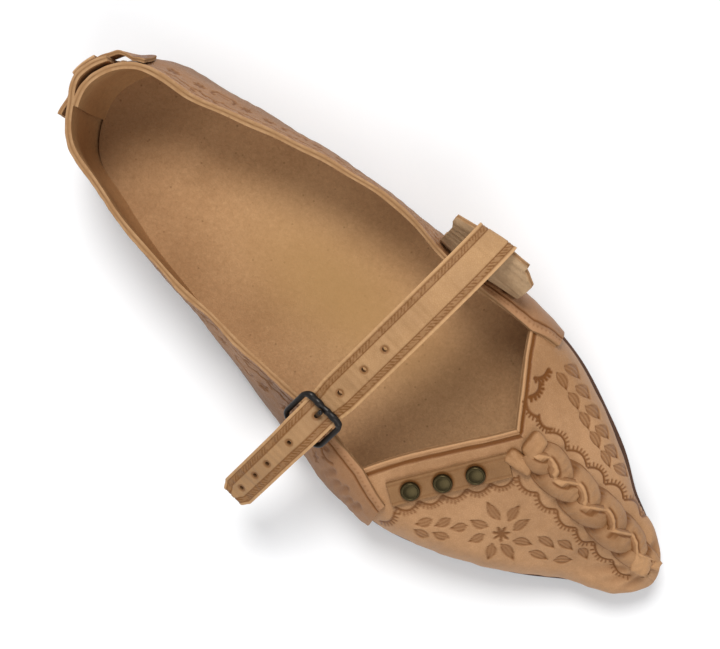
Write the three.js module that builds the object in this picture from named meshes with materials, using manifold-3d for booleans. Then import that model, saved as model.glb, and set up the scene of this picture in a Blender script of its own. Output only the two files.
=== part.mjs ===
// A right-foot folk moccasin of tooled vegetable-tanned leather. A vamp with a V throat and a braid over its
// toe seam is overlapped by two quarters that cross at the heel. A strap folds out from the medial quarter,
// crosses the instep and is buckled at the lateral collar. Sizes are in millimetres. +X points to the toe,
// +Y to the medial side and +Z up, and the origin is on the sole's underside at mid-length.
import * as THREE from "three";
import { mergeVertices } from "three/addons/utils/BufferGeometryUtils.js";
import Module from "manifold-3d";

const wasm = await Module();
wasm.setup();

// Driving sizes
const shoeLength = 262;
const ballWidth = 98;
const heelHeight = 52;
const leather = 2.2;
const gap = 0.3;
const bond = 0.3;

// Sole and insole
const soleThickness = 4;
const soleWelt = 2.4;
const toeSpring = 4;
const springStart = 0.72;
const insoleThickness = 2.2;
const feathering = 1;

// Quarters: stations are counted from the toe, tops are shares of the way from feather line to collar
const lateralTab = { foot: 6.45, tip: 6.2, bow: 0.16, dip: 0.08 };
const medialTab = { foot: 6.08, tip: 5.96, bow: 0.14, dip: 0.14 };
const wingRampStart = 12.3;
const wingRampEnd = 13.2;
const wingEnd = 14.55;
const underlapEnd = 13.55;
const wingFlare = 1.1;

// Rivet band along the lateral arm of the throat, and its rivets
const bandWidth = 8.4;
const bandThickness = 1.6;
const bandInset = 10.6;
const bandStart = 6;
const bandLength = 42;
const rivetDiameter = 6.8;
const rivetHeight = 1.7;
const rivetShank = 2.4;
const rivetPitch = 11.4;
const firstRivet = 7.5;
const rivetCount = 3;

// Braid over the toe seam
const braidWidth = 13;
const braidBase = 1;
const strandWidth = 6.6;
const strandHeight = 1.7;
const strandWeave = 0.8;
const braidPitch = 16;
const braidStart = 2;
const braidEnd = 0.6;

// Strap, with a wide root glued to the medial quarter that turns outwards and folds back over the instep
const strapAlong = 0.518;
const strapYaw = 5.1;
const strapWidth = 14.2;
const strapNeckWidth = 12.6;
const strapTipWidth = 12.2;
const strapThickness = 2.2;
const rootWidth = 32;
const wingWidth = 28;
const rootShift = 3.6;
const foldReach = 14;
const foldRise = 17.6;
const foldRadius = 2.9;
const foldSlant = 0.17;
const archRise = 26.2;
const tailReach = 35;
const tailDrop = 22;
const tailBevel = 4;
const holeDiameter = 2.4;
const holePitch = 10.5;
const holePlaces = [-3.2, -2.25, -1.12, 0, 1.26, 2.48, 3.22, 4.12];

// Buckle with its bars' centre lines, its prong, and the tab that holds the hidden bar
const buckleWidth = 16;
const buckleDepth = 15;
const buckleCorner = 2.7;
const buckleBar = 2.4;
const buckleTilt = 36;
const buckleReach = 7;
const buckleRise = 8.2;
const prongDiameter = 1.7;
const tabWidth = 9.6;
const tabThickness = 1.6;

// Thong round the heel, free at its lateral end and glued down at the medial one, and the keeper over it
const thong = { start: 13.4, end: 15.1, low: 0.66, high: 0.86, flare: 0.07, thickness: 1.5, jut: 1.6 };
const keeper = { start: 13.98, end: 14.35, low: 0.58, high: 0.94, thickness: 1.3 };
const settleStart = 0.1;
const settleLength = 0.3;

const v3 = (x, y, z) => new THREE.Vector3(x, y, z);
const mix = (a, b, t) => a + (b - a) * t;
const clamp01 = (t) => Math.min(1, Math.max(0, t));
const smooth = (t) => clamp01(t) ** 2 * (3 - 2 * clamp01(t));
const radians = THREE.MathUtils.degToRad;
const spring = (x) => toeSpring * clamp01((x / shoeLength + 0.5 - springStart) / (1 - springStart)) ** 2;

// The last, as sections from toe to heel. Positions along are shares of the shoe's length from the heel's
// end, positions across are shares of the ball width, medial positive, and heights are shares of the heel's.
// Each section has the feather line on both sides, the belly of its wall, the shoulder of the vamp or the
// collar of the quarter on both sides, and for the vamp the point of the ridge that it runs up to.
const sections = [
  // along, lateral, medial, belly, shoulder: lateral along, across, medial along, across, up,
  // ridge: along, up
  [0.955, -0.146, 0.068, 0.024, 0.968, -0.138, 0.968, 0.056, 0.34, 0.957, 0.44],
  [0.905, -0.242, 0.146, 0.008, 0.905, -0.186, 0.905, 0.112, 0.404, 0.92, 0.538],
  [0.859, -0.327, 0.232, 0.007, 0.859, -0.25, 0.859, 0.177, 0.481, 0.882, 0.625],
  [0.805, -0.403, 0.304, 0.007, 0.805, -0.316, 0.805, 0.245, 0.562, 0.84, 0.712],
  [0.737, -0.48, 0.378, 0.007, 0.737, -0.372, 0.74, 0.311, 0.649, 0.788, 0.798],
  [0.676, -0.523, 0.41, 0.007, 0.668, -0.393, 0.691, 0.342, 0.712, 0.748, 0.856],
  [0.615, -0.525, 0.408, 0.008, 0.599, -0.367, 0.647, 0.367, 0.769, 0.714, 0.894],
  [0.531, -0.49, 0.398, 0.01, 0.523, -0.327, 0.538, 0.355, 0.769],
  [0.416, -0.42, 0.388, 0.01, 0.416, -0.311, 0.416, 0.388, 0.769],
  [0.302, -0.342, 0.365, 0.012, 0.302, -0.289, 0.302, 0.35, 0.795],
  [0.195, -0.281, 0.316, 0.018, 0.198, -0.257, 0.198, 0.276, 0.846],
  [0.126, -0.224, 0.281, 0.022, 0.126, -0.209, 0.126, 0.224, 0.894],
].map((row) => {
  const [along, lateral, medial, belly, latAlong, latAcross, medAlong, medAcross, up, ...ofRidge] = row;
  const [ridgeAlong, ridgeUp] = ofRidge;
  return {
    along,
    belly,
    up,
    ridgeAlong,
    ridgeUp,
    feather: [lateral, medial],
    shoulderAlong: [latAlong, medAlong],
    shoulder: [latAcross, medAcross],
  };
});
const toe = {
  along: 0.976, across: -0.041, belly: 0.03, shoulderAlong: 0.998, up: 0.3, ridgeAlong: 0.983, ridgeUp: 0.39,
};
const heel = { along: 0.024, across: 0.041, belly: 0.032, shoulderAlong: 0.021, up: 1 };
const heelSteps = 3;
const throatStation = sections.filter((row) => row.ridgeAlong !== undefined).length;
const ridgeAcross = { apex: 0.081, nose: -0.037 };

const stations = 2 * sections.length + heelSteps + 1;
const heelStation = stations / 2;
const place = (along, across, z) => v3((along - 0.5) * shoeLength, across * ballWidth, z);
const featherAt = (along, across) => {
  const p = place(along, across, 0);
  return p.setZ(soleThickness + gap - feathering + spring(p.x));
};

// One level of the last as a closed curve through every station: toe, lateral side, heel, medial side.
function levelCurve(toePoint, sideAt, heelPoint) {
  const side = (s) => sections.map((row) => sideAt(row, s));
  const last = sections[sections.length - 1];
  const [from, to] = [sideAt(last, 0), sideAt(last, 1)];
  const middle = from.clone().add(to).multiplyScalar(0.5);
  const round = Array.from({ length: heelSteps }, (_, k) => {
    const angle = (Math.PI * (k + 1)) / (heelSteps + 1);
    return middle
      .clone()
      .addScaledVector(from.clone().sub(middle), Math.cos(angle))
      .addScaledVector(heelPoint.clone().sub(middle), Math.sin(angle));
  });
  const places = [toePoint, ...side(0), ...round, ...side(1).reverse()];
  return new THREE.CatmullRomCurve3(places, true, "centripetal");
}
const feather = levelCurve(
  featherAt(toe.along, toe.across),
  (row, s) => featherAt(row.along, row.feather[s]),
  featherAt(heel.along, heel.across),
);
const shoulder = levelCurve(
  place(toe.shoulderAlong, toe.across, toe.up * heelHeight),
  (row, s) => place(row.shoulderAlong[s], row.shoulder[s], row.up * heelHeight),
  place(heel.shoulderAlong, heel.across, heel.up * heelHeight),
);
const lastBelly = sections.at(-1).belly;
const bellies = [toe.belly, ...sections.map((row) => row.belly), mix(lastBelly, heel.belly, 0.6), heel.belly];
const apexAlong = sections[throatStation - 1].ridgeAlong;
const ridge = new THREE.CatmullRomCurve3(
  [toe, ...sections.slice(0, throatStation)].map((row) => {
    const back = (row.ridgeAlong - toe.ridgeAlong) / (apexAlong - toe.ridgeAlong);
    return place(row.ridgeAlong, mix(ridgeAcross.nose, ridgeAcross.apex, back), row.ridgeUp * heelHeight);
  }),
  false,
  "centripetal",
);

function hermite(p, tangentP, q, tangentQ, t) {
  const [t2, t3] = [t * t, t ** 3];
  return p
    .clone()
    .multiplyScalar(2 * t3 - 3 * t2 + 1)
    .addScaledVector(tangentP, t3 - 2 * t2 + t)
    .addScaledVector(q, 3 * t2 - 2 * t3)
    .addScaledVector(tangentQ, t3 - t2);
}

// The face between vamp and quarters. u counts the stations round the shoe from the toe; v is 0 at the
// feather line, 1 at the shoulder or collar and 2 at the ridge.
const bellyTangent = 6.75;
function lastPoint(u, v) {
  const fromToe = Math.min(u, stations - u);
  const f = feather.getPoint(u / stations);
  const c = shoulder.getPoint(u / stations);
  const r = ridge.getPoint(Math.min(1, fromToe / throatStation));
  const along = feather.getTangent(u / stations);
  const lower = Math.floor(fromToe);
  const belly = mix(bellies[lower], bellies[Math.min(lower + 1, heelStation)], fromToe - lower) * ballWidth;
  const rise = c.clone().sub(f);
  const crown = 1 - smooth((fromToe - throatStation) / 1.5);
  const toRidge = v3(r.x - c.x, r.y - f.y, r.z - f.z).normalize();
  const lean = rise.clone().normalize().lerp(toRidge, crown).normalize();
  if (v <= 1) {
    const start = v3(-along.y, along.x, 0).normalize().multiplyScalar(belly * bellyTangent);
    start.setZ(rise.length());
    return hermite(f, start, c, lean.multiplyScalar(rise.length()), v);
  }
  const over = r.clone().sub(c);
  return hermite(c, lean.multiplyScalar(over.length()), r, v3(over.x, over.y, over.z * 0.5), v - 1);
}

// A grid of points as a surface: points that meet are merged, and faces look towards (across x along).
function surface(columns, rows, at) {
  const [points, cells, triangles, seen] = [[], [], [], new Map()];
  const index = [];
  for (let i = 0; i <= columns; i++)
    for (let j = 0; j <= rows; j++) {
      const p = at(i / columns, j / rows);
      const key = [p.x, p.y, p.z].map((c) => Math.round(c * 1e3)).join();
      if (!seen.has(key)) {
        seen.set(key, points.length);
        points.push(p);
        cells.push([i / columns, j / rows]);
      }
      index.push(seen.get(key));
    }
  const add = (a, b, c) => a !== b && b !== c && c !== a && triangles.push([a, b, c]);
  for (let i = 0; i < columns; i++)
    for (let j = 0; j < rows; j++) {
      const [a, b] = [index[i * (rows + 1) + j], index[(i + 1) * (rows + 1) + j]];
      const [d, c] = [index[i * (rows + 1) + j + 1], index[(i + 1) * (rows + 1) + j + 1]];
      add(a, d, c);
      add(a, c, b);
    }
  return { points, cells, triangles };
}

function normalsOf({ points, triangles }) {
  const normals = points.map(() => v3(0, 0, 0));
  for (const [a, b, c] of triangles) {
    const n = points[b].clone().sub(points[a]).cross(points[c].clone().sub(points[a]));
    for (const k of [a, b, c]) normals[k].add(n);
  }
  return normals.map((n) => n.normalize());
}

// A closed wall between two offsets of a surface, each a number or a function of the grid's two shares.
function wall(face, below, above) {
  const { points, cells, triangles } = face;
  const normals = normalsOf(face);
  const edges = new Map();
  for (const [a, b, c] of triangles)
    for (const [s, t] of [[a, b], [b, c], [c, a]])
      if (!edges.delete(`${t},${s}`)) edges.set(`${s},${t}`, [s, t]);
  const level = (offset) =>
    points.map((p, k) => {
      const d = typeof offset === "function" ? offset(...cells[k]) : offset;
      return p.clone().addScaledVector(normals[k], d);
    });
  const vertices = [...level(below), ...level(above)];
  const n = points.length;
  const faces = triangles.flatMap(([a, b, c]) => [[c, b, a], [a + n, b + n, c + n]]);
  for (const [s, t] of edges.values()) faces.push([s, t, t + n], [s, t + n, s + n]);
  const geometry = new THREE.BufferGeometry();
  const numbers = vertices.flatMap((p) => p.toArray());
  geometry.setAttribute("position", new THREE.Float32BufferAttribute(numbers, 3));
  geometry.setIndex(faces.flat());
  return geometry;
}

function solid(geometry) {
  const bare = new THREE.BufferGeometry().setAttribute("position", geometry.getAttribute("position"));
  const merged = mergeVertices(bare.setIndex(geometry.index), 1e-4);
  return new wasm.Manifold(
    new wasm.Mesh({
      numProp: 3,
      vertProperties: merged.getAttribute("position").array,
      triVerts: new Uint32Array(merged.index.array),
    }),
  );
}

function geometryOf(manifold) {
  const { vertProperties, triVerts } = manifold.getMesh();
  return new THREE.BufferGeometry()
    .setAttribute("position", new THREE.BufferAttribute(vertProperties, 3))
    .setIndex(new THREE.BufferAttribute(triVerts, 1));
}

const group = new THREE.Group();
function addPart(name, geometry, color, roughness, metalness = 0) {
  const mesh = new THREE.Mesh(geometry, new THREE.MeshStandardMaterial({ color, roughness, metalness }));
  mesh.name = name;
  group.add(mesh);
  return mesh;
}
const tan = 0xc9986a;
const paleTan = 0xd8b083;
const insoleTan = 0x9c7446;
const darkRubber = 0x3a2a20;
const blackMetal = 0x2a2826;
const oldBrass = 0x6b6a45;

// Outsole and insole, as slabs on rungs that join the two sides of the feather line
function footSlab(outset, bottom, thickness) {
  const outline = (u) => {
    const along = feather.getTangent(u / stations);
    const p = feather.getPoint(u / stations).add(v3(-along.y, along.x, 0).normalize().multiplyScalar(outset));
    return p.setZ(bottom + spring(p.x));
  };
  const rungs = surface(36, 3, (i, j) => {
    const u = i * heelStation;
    const p = outline(u).lerp(outline(stations - u), j);
    return p.setZ(bottom + spring(p.x));
  });
  return wall(rungs, 0, thickness);
}
addPart("outsole", footSlab(soleWelt, 0, soleThickness), darkRubber, 0.85);
addPart("insole", footSlab(-leather - 0.6, soleThickness + gap, insoleThickness), insoleTan, 0.8);

// Upper: the vamp inside the last's face and both quarters outside it, bonded where they overlap
const vampFace = surface(42, 10, (i, j) => {
  const u = mix(-throatStation, throatStation, i);
  return lastPoint((u + stations) % stations, 2 * j);
});

function collarTop(fromToe, tab) {
  return 1 - tab.dip * clamp01((throatStation - fromToe) / (throatStation - tab.tip));
}
function quarterFace(columns, tab, end, medial) {
  return surface(columns, 6, (i, j) => {
    const front = mix(tab.foot, tab.tip, j) - tab.bow * Math.sin(Math.PI * j);
    const u = medial ? mix(end, stations - front, i) : mix(front, end, i);
    return lastPoint(u, j * collarTop(Math.min(u, stations - u), tab));
  });
}
const wingLift = (u) => (leather - 2 * bond) * smooth((u - wingRampStart) / (wingRampEnd - wingRampStart));
const wingOpen = (u, v) => wingFlare * smooth((u - underlapEnd) / 0.5) * smooth((v - 0.55) / 0.45);
const quarterOffset = (u, v) => leather + (u <= wingEnd ? wingLift(u) + wingOpen(u, v) : 0);
function lateralQuarter() {
  const face = quarterFace(30, lateralTab, wingEnd, false);
  const stationOf = (i) => mix(lateralTab.tip, wingEnd, i);
  return wall(
    face,
    (i, j) => quarterOffset(stationOf(i), j) - leather - bond,
    (i, j) => quarterOffset(stationOf(i), j),
  );
}
function medialQuarter() {
  return wall(quarterFace(28, medialTab, underlapEnd, true), -bond, leather);
}
const ground = solid(footSlab(12, -8, 8 + soleThickness + gap));
const vamp = solid(wall(vampFace, -leather, 0));
const upper = vamp.add(solid(lateralQuarter())).add(solid(medialQuarter())).subtract(ground);
addPart("upper", geometryOf(upper), tan, 0.65);

// What lies on the vamp is placed by a plumb line through a point of the plan
const vampNormals = normalsOf(vampFace);
function onVamp(x, y, lift) {
  let best = null;
  for (const corners of vampFace.triangles) {
    const [p, q, r] = corners.map((k) => vampFace.points[k]);
    const area = (q.x - p.x) * (r.y - p.y) - (r.x - p.x) * (q.y - p.y);
    const s = ((x - p.x) * (r.y - p.y) - (r.x - p.x) * (y - p.y)) / area;
    const t = ((q.x - p.x) * (y - p.y) - (x - p.x) * (q.y - p.y)) / area;
    const height = p.z + s * (q.z - p.z) + t * (r.z - p.z);
    if (area <= 0 || s < -1e-6 || t < -1e-6 || s + t > 1 + 1e-6 || (best && best.height > height)) continue;
    const normal = v3(0, 0, 0);
    [1 - s - t, s, t].forEach((share, n) => normal.addScaledVector(vampNormals[corners[n]], share));
    best = { height, normal: normal.normalize() };
  }
  return v3(x, y, best.height).addScaledVector(best.normal, lift);
}
const apex = ridge.getPoint(1);
const corner = shoulder.getPoint(throatStation / stations);

// Rivet band: along is counted from the lateral corner of the throat, in from the throat's edge
const arm = v3(apex.x - corner.x, apex.y - corner.y, 0).normalize();
const onArm = (along, inset, lift) =>
  onVamp(corner.x + arm.x * along + arm.y * inset, corner.y + arm.y * along - arm.x * inset, lift);
const bandFace = surface(14, 3, (i, j) =>
  onArm(bandStart + i * bandLength, bandInset + (j - 0.5) * bandWidth, gap),
);
const rivetProfile = [
  [0, -bandThickness],
  [rivetShank / 2, -bandThickness],
  [rivetShank / 2, gap],
  [rivetDiameter / 2, gap],
  [rivetDiameter / 2 - 0.1, gap + rivetHeight * 0.35],
  [rivetDiameter * 0.42, gap + rivetHeight * 0.72],
  [rivetDiameter * 0.24, gap + rivetHeight * 0.94],
  [0, gap + rivetHeight],
].map(([r, z]) => new THREE.Vector2(r, z));
const turned = (profile, segments) => new THREE.LatheGeometry(profile, segments).rotateX(Math.PI / 2);
let band = solid(wall(bandFace, 0, bandThickness));
for (let n = 0; n < rivetCount; n++) {
  const along = bandStart + firstRivet + n * rivetPitch;
  const seat = onArm(along, bandInset, gap + bandThickness);
  const axis = seat.clone().sub(onArm(along, bandInset, 0)).normalize();
  const stand = new THREE.Matrix4()
    .makeRotationFromQuaternion(new THREE.Quaternion().setFromUnitVectors(v3(0, 0, 1), axis))
    .setPosition(seat);
  addPart(`rivet_${n + 1}`, turned(rivetProfile, 14).applyMatrix4(stand), oldBrass, 0.5, 0.9);
  const hole = new THREE.CylinderGeometry(rivetShank / 2 + gap, rivetShank / 2 + gap, 4 * bandThickness, 10);
  band = band.subtract(solid(hole.rotateX(Math.PI / 2).applyMatrix4(stand)));
}
addPart("rivet_band", geometryOf(band), paleTan, 0.7);

// Braid: one wall over the seam, raised where its three strands run
const seam = v3(ridge.getPoint(0).x - apex.x, ridge.getPoint(0).y - apex.y, 0).normalize();
function strandRise(along, across) {
  const lanes = [0, 1, 2].map((k) => {
    const phase = 2 * Math.PI * (along / braidPitch + k / 3);
    const off = (across - (Math.sin(phase) * (braidWidth - strandWidth)) / 2) / (strandWidth / 2);
    if (Math.abs(off) >= 1) return 0;
    return strandHeight * Math.sqrt(1 - off * off) + strandWeave * (1 + Math.sin(2 * phase));
  });
  return Math.max(...lanes);
}
const seamLength = Math.hypot(ridge.getPoint(0).x - apex.x, ridge.getPoint(0).y - apex.y);
const braidLength = seamLength - braidStart - braidEnd;
const braidFace = surface(42, 8, (i, j) => {
  const half = (braidWidth / 2) * Math.min(1, 0.66 + 4 * Math.min(i, 1 - i)) * (1 - 0.22 * i);
  const along = braidStart + i * braidLength;
  const across = mix(half, -half, j);
  return onVamp(apex.x + seam.x * along - seam.y * across, apex.y + seam.y * along + seam.x * across, gap);
});
const braid = wall(braidFace, 0, (i, j) => {
  const cover = braidBase + strandRise(braidStart + i * braidLength, mix(1, -1, j) * (braidWidth / 2));
  return cover * mix(0.55, 1, smooth(10 * Math.min(i, 1 - i)));
});
addPart("braid", braid, paleTan, 0.7);

// Directions along the strap's line: across the foot, medial positive, and from its centre to its edge
const yaw = radians(strapYaw);
const strapOrigin = place(strapAlong, 0, 0);
const onLine = (across, aside, up) =>
  v3(
    strapOrigin.x + across * Math.sin(yaw) + aside * Math.cos(yaw),
    across * Math.cos(yaw) - aside * Math.sin(yaw),
    up,
  );
const asideOf = (p) => (p.x - strapOrigin.x) * Math.cos(yaw) - p.y * Math.sin(yaw);
const acrossOf = (p) => (p.x - strapOrigin.x) * Math.sin(yaw) + p.y * Math.cos(yaw);

// A point off the outside of a quarter, so far aside from the strap's line
function offQuarter(medial, aside, v, lift) {
  let [low, high] = medial ? [stations - 6.2, stations - 11] : [6.4, 11];
  for (let n = 0; n < 30; n++) {
    const middle = (low + high) / 2;
    if (asideOf(lastPoint(middle, v)) > aside) low = middle;
    else high = middle;
  }
  const u = (low + high) / 2;
  const slope = (du, dv) => lastPoint(u + du, v + dv).sub(lastPoint(u - du, v - dv));
  const normal = slope(0, 0.02).cross(slope(0.02, 0)).normalize();
  return lastPoint(u, v).addScaledVector(normal, leather + lift);
}

// A strip of leather: rows give the place on its path, its width and how far it is shifted aside
function ribbon(pathAt, rows, columns, thickness) {
  const face = surface(columns, rows.length - 1, (i, j) => {
    const { at, width, shift = 0 } = rows[Math.round(j * (rows.length - 1))];
    return pathAt((i - 0.5) * width + shift, at);
  });
  return wall(face, -thickness / 2, thickness / 2);
}
const spline = (points) => new THREE.CatmullRomCurve3(points, false, "centripetal");

// A round bar along a path, closed as a ring or with rounded ends
function bar(path, radius, columns, sides, closed) {
  const frames = path.computeFrenetFrames(columns, closed);
  const face = surface(columns, sides, (i, j) => {
    const k = closed ? Math.round(i * columns) % columns : Math.round(i * columns);
    const end = closed ? 1 : Math.sqrt(Math.max(0, 1 - Math.max(0, 1 - Math.min(k, columns - k)) ** 2));
    const angle = 2 * Math.PI * (j % 1);
    return path
      .getPointAt(k / columns)
      .addScaledVector(frames.normals[k], Math.cos(angle) * radius * end)
      .addScaledVector(frames.binormals[k], Math.sin(angle) * radius * end);
  });
  const geometry = new THREE.BufferGeometry().setFromPoints(face.points);
  return geometry.setIndex(face.triangles.flat());
}

// Buckle: its two bars cross the strap's line, the front one above the strap and the hidden one below it
const lateralCollar = shoulder.getPoint(8.3 / stations);
const tilt = radians(buckleTilt);
const hiddenBar = { across: acrossOf(lateralCollar) - buckleReach, up: lateralCollar.z + buckleRise };
const frontBar = {
  across: hiddenBar.across + buckleDepth * Math.cos(tilt),
  up: hiddenBar.up + buckleDepth * Math.sin(tilt),
};
const barRadius = buckleBar / 2;
const strapHalf = strapThickness / 2;
const tabWrap = barRadius + gap + tabThickness;
const framePath = (() => {
  const [w, d, r] = [buckleWidth / 2, buckleDepth, buckleCorner];
  const outline = new THREE.Shape()
    .moveTo(-w + r, 0)
    .lineTo(w - r, 0)
    .absarc(w - r, r, r, -Math.PI / 2, 0)
    .lineTo(w, d - r)
    .absarc(w - r, d - r, r, 0, Math.PI / 2)
    .lineTo(-w + r, d)
    .absarc(-w + r, d - r, r, Math.PI / 2, Math.PI)
    .lineTo(-w, r)
    .absarc(-w + r, r, r, Math.PI, 1.5 * Math.PI);
  const points = outline
    .getSpacedPoints(40)
    .slice(0, -1)
    .map(({ x, y }) => onLine(hiddenBar.across + y * Math.cos(tilt), x, hiddenBar.up + y * Math.sin(tilt)));
  return new THREE.CatmullRomCurve3(points, true, "centripetal");
})();
addPart("buckle_frame", bar(framePath, barRadius, 36, 8, true), blackMetal, 0.45, 0.9);

// Prong: hooked under the hidden bar, up through the strap and against the front bar
const prongRadius = prongDiameter / 2;
const hook = barRadius + gap + prongRadius;
const prongPath = spline([
  onLine(hiddenBar.across - hook, 0, hiddenBar.up + 0.4),
  onLine(hiddenBar.across - hook * 0.72, 0, hiddenBar.up - hook * 0.72),
  onLine(hiddenBar.across, 0, hiddenBar.up - hook),
  onLine(hiddenBar.across + hook * 0.8, 0, hiddenBar.up - hook * 0.6),
  onLine(mix(hiddenBar.across, frontBar.across, 0.4), 0, hiddenBar.up + 0.6),
  onLine(mix(hiddenBar.across, frontBar.across, 0.62), 0, mix(hiddenBar.up, frontBar.up, 0.42)),
  onLine(frontBar.across - hook * 0.95, 0, frontBar.up + hook * 0.2),
  onLine(frontBar.across - hook * 0.45, 0, frontBar.up + hook * 0.95),
]);
const prong = bar(prongPath, prongRadius, 20, 6, false);
const prongRoom = solid(bar(prongPath, prongRadius + gap, 20, 6, false));
addPart("buckle_prong", prong, blackMetal, 0.45, 0.9);

// Strap: off the medial quarter, folded at the crest, over the instep, through the buckle and down outside
const collarUp = shoulder.getPoint((stations - 8.4) / stations).z;
const collarAcross = acrossOf(shoulder.getPoint((stations - 8.4) / stations));
const fold = { across: collarAcross + foldReach, up: collarUp + foldRise };
const underFront = frontBar.up - (barRadius + gap + strapHalf) - 0.1;
const overHidden = hiddenBar.up + (tabWrap + gap + strapHalf) + 0.1;
const span = fold.across - frontBar.across;
const strapPath = (aside) => {
  const slant = foldSlant * aside;
  return spline([
    ...[0.5, 0.62, 0.74, 0.84].map((v) => offQuarter(true, aside, v, gap + strapHalf + 0.1)),
    onLine(fold.across - foldReach * 0.42 + slant * 0.5, aside, fold.up - foldRise * 0.62),
    onLine(fold.across + slant, aside, fold.up - foldRadius),
    onLine(fold.across + foldRadius + slant, aside, fold.up),
    onLine(fold.across + slant, aside, fold.up + foldRadius),
    onLine(fold.across - span * 0.143, aside, collarUp + archRise * 0.97),
    onLine(fold.across - span * 0.347, aside, collarUp + archRise),
    onLine(fold.across - span * 0.576, aside, collarUp + archRise * 0.9),
    onLine(fold.across - span * 0.805, aside, collarUp + archRise * 0.72),
    onLine(frontBar.across, aside, underFront),
    onLine(mix(frontBar.across, hiddenBar.across, 0.5), aside, mix(underFront, overHidden, 0.5)),
    onLine(hiddenBar.across, aside, overHidden),
    onLine(hiddenBar.across - tailReach * 0.49, aside, overHidden - tailDrop * 0.4),
    onLine(hiddenBar.across - tailReach, aside, overHidden - tailDrop),
  ]);
};
const strapKnots = 16;
const strapRows = [
  ...[0, 1, 2, 3, 3.4, 3.7].map((at) => [at, rootWidth, rootShift]),
  [4.2, rootWidth, rootShift],
  [4.6, rootWidth, rootShift],
  [5, wingWidth, 0],
  [5.4, wingWidth, 0],
  ...[5.5, 6, 6.5, 7, 7.5, 8, 8.5, 9, 9.5, 10, 10.5, 11, 11.5].map((at) => [at, strapWidth, 0]),
  ...[12, 12.5, 13, 13.5, 14].map((at) => [at, strapNeckWidth, 0]),
  ...[14.5, 15, 15.5, 15.82].map((at) => [at, strapTipWidth, 0]),
  [16, strapTipWidth - tailBevel, 0],
].map(([knot, width, shift]) => ({ at: knot / strapKnots, width, shift }));
const strapSheet = ribbon((aside, at) => strapPath(aside).getPoint(at), strapRows, 6, strapThickness);
const middleLine = strapPath(0);
const lengths = middleLine.getLengths(400);
const knotLength = (knot) => {
  let share = 0;
  while (middleLine.getUtoTmapping(share) < knot / strapKnots) share += 0.001;
  return share * lengths.at(-1);
};
const prongAt = knotLength(12.62);
let strap = solid(strapSheet).subtract(prongRoom);
for (const place of holePlaces.filter((n) => n !== 0)) {
  const share = (prongAt + place * holePitch) / lengths.at(-1);
  const punch = new THREE.CylinderGeometry(holeDiameter / 2, holeDiameter / 2, 3 * strapThickness, 10);
  const along = middleLine.getTangentAt(share);
  const across = onLine(0, 1, 0).sub(onLine(0, 0, 0));
  const basis = new THREE.Matrix4().makeBasis(across, along.clone().cross(across), along);
  strap = strap.subtract(solid(punch.applyMatrix4(basis.setPosition(middleLine.getPointAt(share)))));
}
addPart("strap", geometryOf(strap), paleTan, 0.65);

// Tab: glued to the lateral quarter, round the hidden bar and down again inside
const tabMiddle = barRadius + gap + tabThickness / 2;
const tabLeaf = gap / 2 + tabThickness / 2;
const roundBar = (angle) => [-Math.cos(angle) * tabMiddle, Math.sin(angle) * tabMiddle];
const tabLoop = [
  [-tabLeaf, -tabMiddle * 2.4],
  [-tabMiddle * 0.86, -tabMiddle * 0.9],
  ...[0.1, 0.3, 0.5, 0.7, 0.9].map((turn) => roundBar(turn * Math.PI)),
  [tabMiddle * 0.86, -tabMiddle * 0.9],
  [tabLeaf, -tabMiddle * 2.4],
  [tabLeaf, -tabMiddle * 3.4],
];
const tabPath = (aside) =>
  spline([
    ...[0.3, 0.46, 0.62].map((v) => offQuarter(false, aside, v, gap + tabThickness / 2)),
    ...tabLoop.map(([across, up]) => onLine(hiddenBar.across + across, aside, hiddenBar.up + up)),
  ]);
const tabKnots = 2 + tabLoop.length;
const tabRows = Array.from({ length: 31 }, (_, n) => ({ at: n / 30, width: tabWidth }));
const tab = solid(ribbon((aside, at) => tabPath(aside).getPoint(at), tabRows, 3, tabThickness));
addPart("buckle_tab", geometryOf(tab.subtract(prongRoom)), tan, 0.7);

// Thong round the heel, outside the wing of the lateral quarter, and the keeper over it
const heelOffset = (u, v) => {
  const settled = smooth((u - wingEnd - settleStart) / settleLength);
  return mix(quarterOffset(Math.min(u, wingEnd), v), leather, settled) + gap;
};
const heelPatch = (start, end, low, high, columns, rows) =>
  surface(columns, rows, (i, j) => lastPoint(mix(start, end, i), mix(low(i), high(i), j)));
const flareOf = (i) => thong.flare * smooth(1 - 5 * Math.min(i, 1 - i));
const jutOf = (i) => thong.jut * smooth(1 - 6 * i);
const thongFace = heelPatch(
  thong.start,
  thong.end,
  (i) => thong.low - flareOf(i),
  (i) => thong.high + flareOf(i),
  22,
  3,
);
const thongLevel = (lift) => (i, j) =>
  heelOffset(mix(thong.start, thong.end, i), mix(thong.low, thong.high, j)) + jutOf(i) + lift;
const keeperFace = heelPatch(keeper.start, keeper.end, () => keeper.low, () => keeper.high, 3, 8);
const keeperLevel = (lift) => (i, j) => {
  const over = (thong.thickness - bond) * smooth(1 - (Math.abs(j - 0.5) - 0.3) / 0.12);
  return heelOffset(mix(keeper.start, keeper.end, i), mix(keeper.low, keeper.high, j)) + over + lift;
};
const heelThong = solid(wall(thongFace, thongLevel(0), thongLevel(thong.thickness)));
const keeperLoop = solid(wall(keeperFace, keeperLevel(0), keeperLevel(keeper.thickness)));
addPart("heel_thong", geometryOf(heelThong.add(keeperLoop)), paleTan, 0.7);

export default group;
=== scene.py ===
# %% [markdown]
# A leather moccasin for the right foot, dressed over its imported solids. The real one is cut from undyed,
# vegetable-tanned leather: a vamp with a V throat and a braided toe seam, two quarters that cross at the
# heel, and a strap with a buckle. Nearly every piece is a sheet of leather, so it starts as a flat bmesh
# grid, extruded once for its thickness, and a function lays it over the last.

# %% Frame and tools
import math

import bmesh
import bpy
import numpy as np
from mathutils import Matrix, Vector
from mathutils.bvhtree import BVHTree


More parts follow.
